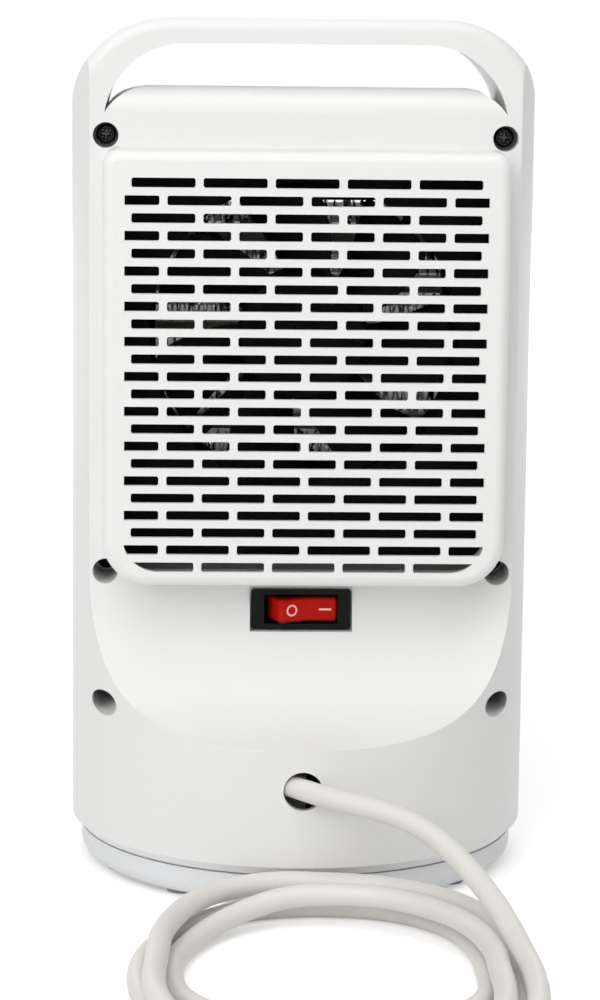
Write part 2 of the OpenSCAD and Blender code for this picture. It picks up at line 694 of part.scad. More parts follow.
// One blade along +Z: part of a tube that lies along the blade, cut to a swept outline
module blade(camber_r, blade_d) intersection() {
    translate([0, hub_y - hub_depth / 2, 0]) rotate([0, 0, blade_pitch])
        translate([0, camber_r, hub_r - 2]) difference() {
            cylinder(r = camber_r, h = blade_tip_r, $fn = 96);
            translate([0, 0, -1]) cylinder(r = camber_r - blade_t, h = blade_tip_r + 2, $fn = 96);
            translate([-reach, 0, -1]) cube([2 * reach, reach, blade_tip_r + 2]);
        }
    from_front(hub_y - hub_depth, hub_y) difference() {
        translate([6, hub_r + 14]) circle(26);
        translate([30, hub_r + 30]) circle(22);
    }
}

bar_step = fin_h + bar_h;
heater_h = duct_h - 9;
heater_y = -front_flat + 1.4;           // rear face of the heating element
heater_x = heater_w / 2;
module heater_frame() color("dimgray") {
    difference() {
        union() {
            // duct through the front shell, and the flange that seats inside it
            from_front(heater_y - heater_d - 1, -front_flat + wall)
                panel_2d(duct_w / 2, heater_z - duct_h / 2, heater_z + duct_h / 2, 3.6, 3.6);
            from_front(-front_flat + wall, -front_flat + wall + 2)
                panel_2d(duct_w / 2 + 4, heater_z - duct_h / 2 - 4, heater_z + duct_h / 2 + 4, 6, 6);
            translate([0, 0, heater_z + duct_h / 2 + 3.9])
                from_front(-front_flat + wall, -front_flat + wall + 2)
                translate([14, 0]) square([22, 16]);
        }
        from_front(heater_y - heater_d - 2, -front_flat + wall + 3)
            translate([-heater_x - play, heater_z - heater_h / 2 - play])
            square([heater_w + 2 * play, heater_h + 2 * play]);
        for (k = [-1 : 1]) translate([heater_x - 1, heater_y - 8, heater_z + k * 2 * bar_step - 1.8])
            cube([duct_w, 1.2, 3.6]);
    }
}

module ceramic_bars() color("tan") for (k = [1 : fin_rows - 1])
    translate([-heater_x, heater_y - heater_d, heater_z - heater_h / 2 + k * bar_step - bar_h])
        cube([heater_w, heater_d, bar_h]);

// Folded sheet between the bars: one zigzag ribbon in each row
module fin_strip_2d() {
    pitch = (heater_w - 2) / fin_folds;
    high = fin_h / 2 - 0.05;
    low = high - fin_t * 1.6;
    upper = [for (k = [0 : fin_folds]) [k * pitch, k % 2 == 0 ? high : -low]];
    lower = [for (k = [fin_folds : -1 : 0]) [k * pitch, k % 2 == 0 ? low : -high]];
    translate([1 - heater_x, 0]) polygon(concat(upper, lower));
}

module heater_fins() color("gainsboro") for (k = [0 : fin_rows - 1])
    translate([0, 0, heater_z - heater_h / 2 + k * bar_step + fin_h / 2])
        from_front(heater_y - heater_d + 0.5, heater_y - 0.5) fin_strip_2d();

module heater_terminals() color("goldenrod") for (k = [-1 : 1])
    translate([heater_x + play, heater_y - 7.8, heater_z + k * 2 * bar_step - 1.6])
        cube([9, 0.8, 3.2]);

module thermal_cutout() color("silver")
    translate([25, 0, heater_z + duct_h / 2 + 12]) {
        rod_y(8, -front_flat + wall + 2, -front_flat + wall + 6);
        rod_y(6, -front_flat + wall + 6, -front_flat + wall + 10);
        for (x = [-4, 4]) translate([x - 2, -front_flat + wall + 8, 4]) cube([4, 0.8, 9]);
    }

module shell_screws() color([0.16, 0.16, 0.17]) for (p = screw_places) translate([p[0], 0, p[1]]) {
    difference() {
        rod_y(screw_head_r, p[2], p[2] + screw_head_h);
        for (a = [0, 90]) rotate([0, a + 20, 0]) translate([-2.2, p[2] + 1, -0.45]) cube([4.4, 4, 0.9]);
    }
    rod_y(screw_shank_r - 0.02, -parting - 4.6, p[2] + 0.5);
}

cover_r = body_r - 0.4;                 // outer rim of the bottom cover
cover_low_r = foot_r - 0.1;
cover_t = 2.4;
cover_z0 = foot_z + 0.5;                // underside of the cover, on the glide ring
neck_r = 21.6;                          // neck of the foot that passes through the cover
gear_seat = rim_z + 0.3;
gear_t = 4;
pinion_x = 0;
pitch_r = gear_module * ring_teeth / 2;
pinion_r = gear_module * pinion_teeth / 2;
axle_y = -(pitch_r + pinion_r);
swing_can_r = 14;
swing_can_h = 19;
swing_can_y = axle_y - 8;
motor_floor = gear_seat + gear_t + 3;
pinion_axle_r = 2.5;
clamp_x = free_route[0][0];
clamp_y0 = free_route[0][1];
clamp_y1 = free_route[1][1];
clamp_z = free_route[0][2];
clamp_half = 11;
clamp_t = 6.2;

module bottom_cover() color([0.93, 0.93, 0.94]) {
    difference() {
        union() {
            // rim that tapers in below the shells, floor and locating ring
            rotate_extrude($fn = 128) polygon([[0, cover_z0], [cover_low_r, cover_z0],
                [cover_r, rim_z], [body_r - wall - play, rim_z], [body_r - wall - play, rim_z + 4],
                [body_r - wall - play - 1.6, rim_z + 4], [body_r - wall - play - 1.6, rim_z], [0, rim_z]]);
        }
        translate([0, 0, cover_z0 - 1]) cylinder(r = neck_r + 0.6, h = 10);
    }
    // posts for the swing motor and the cord clamp
    for (side = [-1, 1]) {
        translate([side * (swing_can_r + 3.5), swing_can_y, rim_z - 0.5])
            cylinder(r = 2.6, h = motor_floor - rim_z + 0.5);
    }
    difference() {
        translate([clamp_x - clamp_half, clamp_y0, rim_z - 0.5])
            cube([2 * clamp_half, clamp_y1 - clamp_y0, clamp_z - rim_z + 0.1]);
        translate([clamp_x, 0, clamp_z]) rod_y(cord_d / 2 + 0.05, clamp_y0 - 1, clamp_y1 + 1);
        for (side = [-1, 1]) translate([clamp_x + side * 8, (clamp_y0 + clamp_y1) / 2, clamp_z - 9])
            cylinder(r = 1.2, h = 20);
    }
}

module cord_clamp() color("dimgray") difference() {
    translate([clamp_x - clamp_half, clamp_y0, clamp_z - 0.2])
        cube([2 * clamp_half, clamp_y1 - clamp_y0, clamp_t + 0.2]);
    translate([clamp_x, 0, clamp_z]) rod_y(cord_d / 2 + 0.05, clamp_y0 - 1, clamp_y1 + 1);
    for (side = [-1, 1]) translate([clamp_x + side * 8, (clamp_y0 + clamp_y1) / 2, clamp_z - 9])
        cylinder(r = 1.4, h = 30);
}

module clamp_screws() color("silver") for (side = [-1, 1])
    translate([clamp_x + side * 8, (clamp_y0 + clamp_y1) / 2, 0]) {
        translate([0, 0, clamp_z - 8]) cylinder(r = 1.15, h = 8.4 + clamp_t);
        translate([0, 0, clamp_z + clamp_t]) cylinder(r = 2.4, h = 1.6);
    }

module glide_ring() color("ghostwhite") difference() {
    translate([0, 0, foot_z]) cylinder(r = foot_r - 4, h = cover_z0 - foot_z, $fn = 96);
    translate([0, 0, foot_z - 1]) cylinder(r = foot_r - 12, h = 3, $fn = 96);
}

foot_wall = 2.2;
foot_post_r = foot_r - 18.6;            // the four posts for the screws of the foot plate
gear_screw_r = 17;
foot_edge_r = 5;
module foot_shell() color([0.86, 0.88, 0.9]) difference() {
    union() {
        rotate_extrude($fn = 128) {
            translate([0, pad_t]) square([foot_r - foot_edge_r, foot_z - pad_t]);
            translate([0, pad_t + foot_edge_r]) square([foot_r, foot_z - pad_t - foot_edge_r]);
            translate([foot_r - foot_edge_r, pad_t + foot_edge_r]) intersection() {
                circle(foot_edge_r);
                translate([0, -foot_edge_r]) square(foot_edge_r);
            }
        }
        cylinder(r = neck_r, h = gear_seat);
    }
    translate([0, 0, -1]) difference() {
        cylinder(r = foot_r - foot_edge_r, h = foot_z - foot_wall + 1, $fn = 128);
        for (a = [45 : 90 : 315]) rotate([0, 0, a]) translate([foot_post_r, 0, 1 + pad_t + 2]) cylinder(r = 3.4, h = 10);
        translate([0, 0, 1 + pad_t + 2]) cylinder(r = neck_r, h = 20);
    }
    translate([0, 0, -1]) cylinder(r = 12, h = 40);
    for (a = [0 : 120 : 240]) rotate([0, 0, a + 30]) translate([gear_screw_r, 0, gear_seat - 7])
        cylinder(r = 1.2, h = 10);
    for (a = [45 : 90 : 315]) rotate([0, 0, a]) translate([foot_post_r, 0, -1]) cylinder(r = 1.2, h = 9);
}

module foot_plate() color([0.5, 0.5, 0.52]) difference() {
    translate([0, 0, pad_t]) cylinder(r = foot_r - foot_edge_r - 0.2, h = 2, $fn = 128);
    for (a = [45 : 90 : 315]) rotate([0, 0, a]) translate([foot_post_r, 0, 0]) {
        cylinder(r = 1.5, h = 8);
        cylinder(r = 3, h = pad_t + 1.2);
    }
}

module foot_screws() color("silver") for (a = [45 : 90 : 315])
    rotate([0, 0, a]) translate([foot_post_r, 0, 0]) {
        translate([0, 0, pad_t]) cylinder(r = 2.8, h = 1.2);
        translate([0, 0, pad_t + 1]) cylinder(r = 1.15, h = 5);
    }

module rubber_pads() color([0.15, 0.15, 0.15]) for (k = [0 : pads - 1])
    rotate([0, 0, 22 + k * 360 / pads]) translate([foot_r - foot_edge_r - 4, 0, 0])
        cylinder(r1 = 4, r2 = 4.6, h = pad_t);

// Spur gear outline with plain tapered teeth
module gear_2d(teeth) {
    r = gear_module * teeth / 2;
    root = r - 1.25 * gear_module;
    tip = r + 0.9 * gear_module;
    step = 360 / teeth;
    // half widths of a tooth at its root and tip, as parts of one pitch
    root_half = 0.3 * step;
    tip_half = 0.1 * step * r / tip;
    polygon([for (k = [0 : teeth - 1], p = [[root, -root_half], [tip, -tip_half],
                                            [tip, tip_half], [root, root_half]])
        p[0] * [cos(k * step + p[1]), sin(k * step + p[1])]]);
}

module ring_gear() color("ivory") translate([0, 0, gear_seat]) difference() {
    linear_extrude(gear_t) gear_2d(ring_teeth);
    translate([0, 0, -1]) cylinder(r = 12, h = gear_t + 2);
    for (a = [0 : 120 : 240]) rotate([0, 0, a + 30]) translate([gear_screw_r, 0, -1]) cylinder(r = 1.4, h = 20);
}

module gear_screws() color("silver") for (a = [0 : 120 : 240])
    rotate([0, 0, a + 30]) translate([gear_screw_r, 0, 0]) {
        translate([0, 0, gear_seat - 6]) cylinder(r = 1.15, h = gear_t + 6.4);
        translate([0, 0, gear_seat + gear_t]) cylinder(r = 2.4, h = 1.6);
    }

module swing_motor() color("lightsteelblue") {
    translate([0, swing_can_y, motor_floor]) difference() {
        union() {
            cylinder(r = swing_can_r, h = swing_can_h);
            translate([-swing_can_r - 7, -3.5, 0]) cube([2 * (swing_can_r + 7), 7, 1]);
        }
        translate([0, axle_y - swing_can_y, -1]) cylinder(r = pinion_axle_r + running, h = 9);
    }
}

module swing_pinion() color("ivory") translate([0, axle_y, gear_seat]) {
    linear_extrude(gear_t) rotate(90 + 180 / pinion_teeth) gear_2d(pinion_teeth);
    cylinder(r = pinion_axle_r, h = gear_t + 10);
}

function unit(v) = v / norm(v);
// Direction of the route at one of its points
function heading(route, k) =
    unit(route[min(k + 1, len(route) - 1)] - route[max(k - 1, 0)]);
// Ring of points round the route, square to it, with one side level
function cord_ring(route, k, r, sides) =
    let (d = heading(route, k), side = unit(cross(d, [0, 0, 1])), up = cross(side, d))
    [for (j = [0 : sides - 1])
        route[k] + r * (cos(360 * (j + 0.5) / sides) * side + sin(360 * (j + 0.5) / sides) * up)];

// Tube swept along a route, closed at both ends
module cord_tube(route, r, sides) {
    rings = len(route);
    points = [for (k = [0 : rings - 1]) each cord_ring(route, k, r, sides)];
    walls = [for (k = [0 : rings - 2], j = [0 : sides - 1])
        let (a = k * sides + j, b = k * sides + (j + 1) % sides)
        each [[a, b, b + sides], [a, b + sides, a + sides]]];
    last = (rings - 1) * sides;
    ends = [for (j = [1 : sides - 2])
        each [[0, j + 1, j], [last, last + j, last + j + 1]]];
    polyhedron(points, concat(walls, ends));
}

module power_cord() color([0.9, 0.88, 0.86]) cord_tube(free_route, cord_d / 2, 8);
module cord_loops() color([0.9, 0.88, 0.86]) cord_tube(loop_route, cord_d / 2, 8);
module cord_tail() color([0.9, 0.88, 0.86]) cord_tube(tail_route, cord_d / 2, 8);

// Least gap between turns, measured between points a third of a step apart
lay = concat(loop_route, [for (k = [1 : len(tail_route) - 1]) tail_route[k]]);
fine_route = [for (k = [0 : len(lay) - 2], t = [0, 1 / 3, 2 / 3])
    lay[k] * (1 - t) + lay[k + 1] * t];
least_gap = min([for (a = [0 : len(fine_route) - 20], b = [a + 15 : len(fine_route) - 1])
    norm(fine_route[a] - fine_route[b])]) - cord_d;
echo(least_gap = least_gap);

// Round earthed plug that lies on its side, its pins pointing away from the cord
module plug_body() color([0.9, 0.88, 0.86]) translate(plug_at) rotate([-90, 0, 0])
    difference() {
        rotate_extrude($fn = 96) polygon([[0, 0], [5, 0], [7.5, 12], [8.5, 20], [11, 27],
            [plug_r - 1.5, 32], [plug_r, 34], [plug_r, 46], [plug_r - 1.5, 48], [0, 48]]);
        for (side = [-1, 1]) translate([side * plug_r, 0, 34 + 6 + 1])
            cube([4.4, 5.4, 16], center = true);
        for (side = [-1, 1]) translate([0, side * (plug_r + 1.2), 41])
            cube([7.4, 5.4, 16], center = true);
    }

module plug_pins() color("silver") translate(plug_at) rotate([-90, 0, 0]) {
    for (side = [-1, 1]) translate([side * 9.5, 0, 48]) {
        cylinder(r = 2.4, h = 17);
        translate([0, 0, 17]) cylinder(r1 = 2.4, r2 = 1.2, h = 2);
    }
    // side contacts of the earth
    for (side = [-1, 1]) translate([side * (plug_r - 1.7), 0, 41])
        cube([0.8, 4.6, 13.4], center = true);
}

rear_shell();
front_shell();
intake_grille();
outlet_grille();
control_panel();
power_button();
swing_button();
timer_button();
control_board();
key_switches();
switch_housing();
rocker();
switch_terminals();
fan_shroud();
motor_can();
motor_stator();
motor_bearings();
motor_shaft();
motor_rotor();
impeller();
heater_frame();
ceramic_bars();
heater_fins();
heater_terminals();
thermal_cutout();
shell_screws();
shroud_screws();
bottom_cover();
glide_ring();
foot_shell();
foot_plate();
foot_screws();
rubber_pads();
ring_gear();
gear_screws();
swing_motor();
swing_pinion();
cord_clamp();
clamp_screws();
power_cord();
cord_loops();
cord_tail();
plug_body();
plug_pins();
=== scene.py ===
"""Looks of a free-standing fan heater with a bow handle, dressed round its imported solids.

Run as a script. All lengths are in metres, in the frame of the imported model: the foot
turns about Z, the air enters at +Y and leaves at -Y.
"""

import math

import bpy
import numpy as np
from bpy.props import FloatProperty, FloatVectorProperty, IntProperty, PointerProperty
from mathutils import Matrix, Vector


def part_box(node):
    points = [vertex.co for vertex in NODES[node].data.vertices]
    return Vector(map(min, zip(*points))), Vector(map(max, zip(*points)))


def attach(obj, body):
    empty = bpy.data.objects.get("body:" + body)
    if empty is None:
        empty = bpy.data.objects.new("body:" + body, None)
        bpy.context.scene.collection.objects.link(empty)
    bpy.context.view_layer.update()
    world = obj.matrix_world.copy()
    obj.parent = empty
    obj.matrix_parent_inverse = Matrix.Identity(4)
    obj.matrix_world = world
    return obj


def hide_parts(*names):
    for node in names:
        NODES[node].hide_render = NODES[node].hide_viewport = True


bl_info = {
    "name": "Fan heater with bow handle",
    "version": (1, 0, 0),
    "blender": (4, 5, 0),
    "location": "View3D > Sidebar > Heater",
    "description": "Dresses the packed solids of a fan heater in plastics, metals and a mains lead",
    "category": "Object",
}

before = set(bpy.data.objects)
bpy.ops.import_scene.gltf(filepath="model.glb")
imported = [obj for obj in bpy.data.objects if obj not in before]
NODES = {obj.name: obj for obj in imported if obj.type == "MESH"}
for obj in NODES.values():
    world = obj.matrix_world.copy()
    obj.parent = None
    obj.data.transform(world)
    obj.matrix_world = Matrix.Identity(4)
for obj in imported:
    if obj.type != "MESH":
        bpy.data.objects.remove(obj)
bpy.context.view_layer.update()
MM = 0.001

# The lead's route from the clamp in the body to the plug, in millimetres
FREE_ROUTE = [
    (9.5, 44, 39), (9.5, 52, 39), (8.5, 59.5, 39), (5, 67, 39.5), (0, 73.5, 39.5),
    (-6.5, 79.5, 39), (-14.5, 85.5, 38.5), (-24, 91, 37.5), (-34, 98, 35), (-43, 107, 30),
    (-50, 117, 24.5), (-55, 128, 20), (-58.5, 140, 16), (-61, 153, 13), (-62.5, 165.5, 11.5)]
LOOP_ROUTE = [
    (-62.5, 173, 11), (-62.5, 180.5, 10.5), (-61, 191, 8.5), (-55.5, 201.5, 5.5), (-45.5, 208, 4),
    (-34, 210.5, 3.5), (-21, 211, 3.5), (-9, 211, 3.5), (3, 211, 3.5), (14, 210.5, 3.5),
    (25, 208, 4.5), (34.5, 202.5, 7), (41, 193, 10), (44, 181.5, 11.5), (44.5, 168, 11.5),
    (44, 155, 11.5), (43.5, 142, 11.5), (42.5, 129, 11.5), (39.5, 115.5, 11.5), (35, 102.5, 11.5),
    (28, 91, 11.5), (19, 83, 11.5), (7, 78.5, 11.5), (-7, 77.5, 11), (-20.5, 80, 11),
    (-33, 86, 11), (-44, 95.5, 11), (-52.5, 106.5, 10), (-57.5, 119, 6.5), (-60, 133, 4),
    (-61, 148, 3.5), (-61, 163, 3.5), (-60, 174, 3.5), (-56, 184.5, 3.5), (-48, 192.5, 3.5),
    (-37.5, 197.5, 3.5), (-25.5, 199, 3.5), (-13, 199, 3.5), (-0.5, 198.5, 3.5), (11.5, 197.5, 3.5),
    (23.5, 194.5, 3.5), (34, 188.5, 3.5), (42, 179, 3.5), (47, 167, 3.5), (49, 153, 3.5),
    (49, 139, 3.5), (47, 125.5, 3.5), (42.5, 112.5, 3.5), (35.5, 100, 3.5), (26.5, 89, 3.5),
    (15, 81, 3.5), (2, 77.5, 3.5), (-11.5, 77.5, 3.5), (-24, 80.5, 3.5), (-35, 87.5, 3.5),
    (-43.5, 98, 3.5), (-48.5, 111, 3.5), (-51, 125, 3.5), (-51.5, 139, 3.5), (-51.5, 153, 3.5),
    (-49.5, 165, 3.5), (-44.5, 175.5, 3.5), (-36, 183.5, 3.5), (-25.5, 188, 3.5), (-14, 189.5, 3.5),
    (-2, 189.5, 3.5), (9.5, 188, 3.5), (20.5, 184, 3.5), (30, 176.5, 3.5), (36, 166.5, 3.5),
    (39, 154, 3.5), (39.5, 140.5, 3.5), (38, 127.5, 3.5), (34, 115, 4), (27.5, 103, 5),
    (18, 93.5, 7), (6, 88.5, 9.5), (-7.5, 88, 10.5), (-20.5, 91, 11), (-32.5, 98, 11),
    (-42, 108.5, 11), (-48.5, 121.5, 11), (-52, 135, 11), (-53.5, 148, 11)]
TAIL_ROUTE = [
    (-53.5, 156, 11), (-53.5, 164, 11), (-53.5, 177, 11), (-52.5, 191, 11.5), (-50.5, 204.5, 12),
    (-47.5, 217.5, 9.5), (-44.5, 230, 6), (-42, 242.5, 4.5), (-40.5, 255, 6), (-39.5, 267, 10.5),
    (-39, 279, 15.5), (-39, 290, 18.5), (-39, 298, 18.5)]

# The plug in millimetres: its radius, the flutes of its grip and its two side grooves
PLUG_R = 18.5
FLUTES = 24
GROOVE_DEPTH = 2.2

# The fins, in metres: rows, height of a row, rings of a fold, gauge of the foil and noise seed
FIN_ROWS = 6
FIN_H = 0.0101
FIN_RINGS = 7
FIN_GAUGE = 0.00012
FIN_SEED = 11

# The camera of the photo: place, heading, the picture's right side and the lens in millimetres
CAMERA_AT = (0.0333, 1.0583, 0.3032)
CAMERA_AHEAD = (-0.031281, -0.984432, -0.172961)
CAMERA_RIGHT = (-0.999492, 0.029766, 0.011345)
CAMERA_LENS = 118.8

# The stage: half the floor's side, its glow (from and to this distance, from and to this value),
# the world's strength, and each lamp's place, size and power; the lamps aim at LAMP_AIM
FLOOR_HALF = 2.2
FLOOR_GLOW = (0.45, 1.5, 0.36, 1.0)
WORLD_LIGHT = 0.36
LAMPS = {"key": ((0.8, 1.8, 1.3), 2.0, 24.0), "top": ((-0.1, 0.7, 2.0), 1.8, 13.6),
         "far": ((0.1, -1.8, 1.2), 2.2, 10.0)}
LAMP_AIM = (0, 0, 0.13)

# The rocker in millimetres: its pivot, its tilt at rest, its height along the pivot, the place of
# the valley between its halves, its side outline round the pivot and the radii of its corners
ROCKER_PIVOT = (0, 22.5, 87.6)
ROCKER_TILT = math.radians(12)
ROCKER_H = 8.6
VALLEY = 9.52
ROCKER_SIDE = [(0, VALLEY), (-9.3, 11.5), (-11.3, 2), (-5, -3), (5, -3), (11.3, 2), (9.3, 11.5)]
ROCKER_CORNERS = [3.0, 1.5, 1.4, 1.4, 1.4, 1.4, 1.5]

# The marks on the rocker: how far from its valley they lie, the ring's radius and half width,
# and the bar's half length and half width
RING_AT, RING_R, RING_HALF = 5.35, 1.6, 0.28
BAR_AT, BAR_LENGTH, BAR_HALF = 5.72, 1.95, 0.32

# The fan in millimetres: height of its axis, its hub, its blades, how much of the circle they
# cover at the root, how far they sweep back, and their turn at rest seen from the intake
FAN_Z = 173.965
HUB_R = 20.5
HUB_Y = (8.2, 23.2)
HUB_WALL = 1.8
BLADE_TIP_R = 47.4
BLADES = 7
BLADE_ROOT_COVER = 0.8
BLADE_SWEEP = math.radians(14)
BLADE_PHASE = math.radians(-4.3)

# The screws of the case in millimetres: their side, the height and seat of each pair, their tip,
# the shank, the head with its edge and dome, and the cross recess
SCREW_X = 62.2
SCREW_SEATS = ((237.0, 22.0), (99.3, 8.0), (58.7, 8.0))
SCREW_TIP = -23.6
SHANK_R = 1.48
HEAD_R = 3.1
HEAD_EDGE, HEAD_DOME = 0.9, 1.4
HEAD_TURN = math.radians(5)
RECESS_HALF, RECESS_LENGTH, RECESS_DEPTH = 0.55, 1.9, 1.3

# Painted shade on the rear shell, a darker colour: the strip that only the lowest slots of the
# grille show, in metres, and deep in the upper screw bores, by their radius, floor and rim in mm
WELL_CENTRE = (0.0, 0.029, 0.1015)
WELL_HALF = (0.06, 0.003, 0.0024)
BORE_R = 4.3
BORE_FLOOR, BORE_RIM = 23.5, 26.4
PAINTED_SHADE = (0.12, 0.115, 0.11)

# Depths of the bump textures, in metres
GRAIN_DEPTH, BRUSH_DEPTH, FOIL_DEPTH = 0.00004, 0.00005, 0.0008

# Noise scales of the metals along X, Y and Z: drawn along Y, drawn longer, and even
DRAWN = (900.0, 60.0, 900.0)
DRAWN_LONG = (900.0, 40.0, 900.0)
EVEN = (900.0, 900.0, 900.0)
WHITE = (1, 1, 1, 1)

# The colour sockets of a mix node, the outputs of the two kinds of group, and the groups made
MIX_FIRST, MIX_SECOND, MIX_RESULT = 6, 7, 2
SURFACE_OUT = {"Roughness": "NodeSocketFloat", "Height": "NodeSocketFloat"}
MASK_OUT = {"Inside": "NodeSocketFloat"}
GROUPS = {}


# ---------------------------------------------------------------- surfaces


def put_mesh(name, points, faces, smooth=True):
    """A mesh object at the origin from an array of points and a list or array of faces."""
    mesh = bpy.data.meshes.new(name)
    if isinstance(faces, np.ndarray):
        faces = faces.tolist()
    mesh.from_pydata(np.asarray(points, float).reshape(-1, 3).tolist(), [], faces)
    mesh.update()
    mesh.polygons.foreach_set("use_smooth", [smooth] * len(mesh.polygons))
    piece = bpy.data.objects.new(name, mesh)
    bpy.context.scene.collection.objects.link(piece)
    return piece


def grid_faces(rows, columns, closed=True):
    """Quads between neighbouring rows and columns; closed joins the last column to the first."""
    span = columns if closed else columns - 1
    row, column = np.meshgrid(np.arange(rows - 1), np.arange(span), indexing="ij")
    a = row * columns + column
    b = row * columns + (column + 1) % columns
    return np.stack([a, b, b + columns, a + columns], -1).reshape(-1, 4)


def skin(rings):
    """Points and faces of a solid skin over rings of points, shape (rings, points, 3), with a fan
    at either end. Outward is (next point - point) x (next ring - ring)."""
    count, around = rings.shape[:2]
    points = np.concatenate([rings.reshape(-1, 3), rings[0].mean(0)[None], rings[-1].mean(0)[None]])
    step = np.arange(around)
    first = np.stack([(step + 1) % around, step, np.full(around, count * around)], -1)
    last = (count - 1) * around
    final = np.stack([last + step, last + (step + 1) % around,
                      np.full(around, count * around + 1)], -1)
    return points, grid_faces(count, around).tolist() + first.tolist() + final.tolist()


def loop_skin(rings):
    """Points and faces of a skin whose last ring meets its first, such as a ring or a torus."""
    count, around = rings.shape[:2]
    faces = grid_faces(count + 1, around) % (count * around)
    return rings.reshape(-1, 3), faces.tolist()


def joined(name, skins, smooth=True):
    """One mesh object made of several separate skins."""
    points, faces, start = [], [], 0
    for part, quads in skins:
        points.append(part)
        faces += [tuple(v + start for v in face) for face in quads]
        start += len(part)
    return put_mesh(name, np.concatenate(points), faces, smooth)


def smooth_route(points, steps):
    """A Catmull-Rom curve through the points: a cubic on each span, whose slopes come from the
    neighbouring points."""
    p = np.asarray(points, float) * MM
    p = np.concatenate([2 * p[:1] - p[1:2], p, 2 * p[-1:] - p[-2:-1]])
    t = np.linspace(0, 1, steps, endpoint=False)[None, :, None]
    a, b, c, d = (p[k:len(p) - 3 + k, None, :] for k in range(4))
    curve = 0.5 * (2 * b + (c - a) * t + (2 * a - 5 * b + 4 * c - d) * t ** 2
                   + (3 * b - a - 3 * c + d) * t ** 3)
    return np.concatenate([curve.reshape(-1, 3), p[-2:-1]])


def unit(v):
    """Vectors of an array brought to length 1."""
    return v / np.linalg.norm(v, axis=-1, keepdims=True)


def path_frames(path):
    """Heading, level side and upright of a path at each of its points."""
    heading = unit(np.gradient(path, axis=0))
    side = unit(np.cross(heading, [0.0, 0.0, 1.0]))
    return heading, side, np.cross(side, heading)


def tube(name, path, radius, around):
    """A round tube: at each point of the path a circle of the radius, square to the heading."""
    _, side, up = path_frames(path)
    angle = np.linspace(0, 2 * math.pi, around, endpoint=False)[None, :, None]
    rings = path[:, None] + radius * (np.cos(angle) * side[:, None] + np.sin(angle) * up[:, None])
    return joined(name, [skin(rings)])


def turned(profile, origin, axis, around, shape=None):
    """The skin of a body turned about an axis: radius and place along the axis from the profile,
    with the radius scaled by shape(angle, place) where it is given."""
    profile = np.asarray(profile, float) * MM
    axis = np.asarray(axis, float)
    first = unit(np.cross(axis, [0.0, 0.0, 1.0] if abs(axis[2]) < 0.9 else [0.0, 1.0, 0.0]))
    second = np.cross(axis, first)
    angle = np.linspace(0, 2 * math.pi, around, endpoint=False)
    a, z = np.meshgrid(angle, profile[:, 1])
    r = np.repeat(profile[:, :1], around, 1)
    if shape is not None:
        r = r * shape(a, z / MM)
    rings = (np.asarray(origin, float) * MM + z[..., None] * axis
             + r[..., None] * (np.cos(a)[..., None] * first + np.sin(a)[..., None] * second))
    return skin(rings)


def rounded(points, radius, steps=6):
    """A closed outline with each corner turned into an arc that touches both of its sides."""
    p = np.asarray(points, float)
    before, after = np.roll(p, 1, 0), np.roll(p, -1, 0)
    into, out = unit(before - p), unit(after - p)
    half = 0.5 * np.arccos(np.clip((into * out).sum(1), -1, 1))
    radius = np.broadcast_to(np.asarray(radius, float), half.shape)
    cut = radius / np.tan(half)
    centre = p + unit(into + out) * (radius / np.sin(half))[:, None]
    start, end = p + into * cut[:, None] - centre, p + out * cut[:, None] - centre
    t = np.linspace(0, 1, steps)[None, :, None]
    arc = unit(start[:, None] * (1 - t) + end[:, None] * t) * radius[:, None, None]
    return (centre[:, None] + arc).reshape(-1, 2)


def prism(outline, low, high, edge, steps=6):
    """Rings of a prism on a counter-clockwise outline, with both of its rims rounded: the outline
    moves in by edge (1 - sin t) at edge (1 - cos t) from either end."""
    along = unit(np.roll(outline, -1, 0) - np.roll(outline, 1, 0))
    inward = np.stack([-along[:, 1], along[:, 0]], -1)
    t = np.linspace(0, math.pi / 2, steps)
    inset, rise = edge * (1 - np.sin(t)), edge * (1 - np.cos(t))
    inset = np.concatenate([inset, inset[::-1]])
    height = np.concatenate([low + rise, (high - rise)[::-1]])
    flat = outline[None] + inset[:, None, None] * inward
    return np.concatenate([flat, np.broadcast_to(height[:, None, None], (*flat.shape[:2], 1))], -1)


def circle(radius, count):
    """A counter-clockwise circle of points round the origin."""
    angle = np.linspace(0, 2 * math.pi, count, endpoint=False)
    return radius * np.stack([np.cos(angle), np.sin(angle)], -1)


def laid(rings, origin, along, across, out):
    """Rings moved from millimetres on a local frame to metres in the model."""
    return (np.asarray(origin, float) + rings @ np.array([along, across, out], float)) * MM


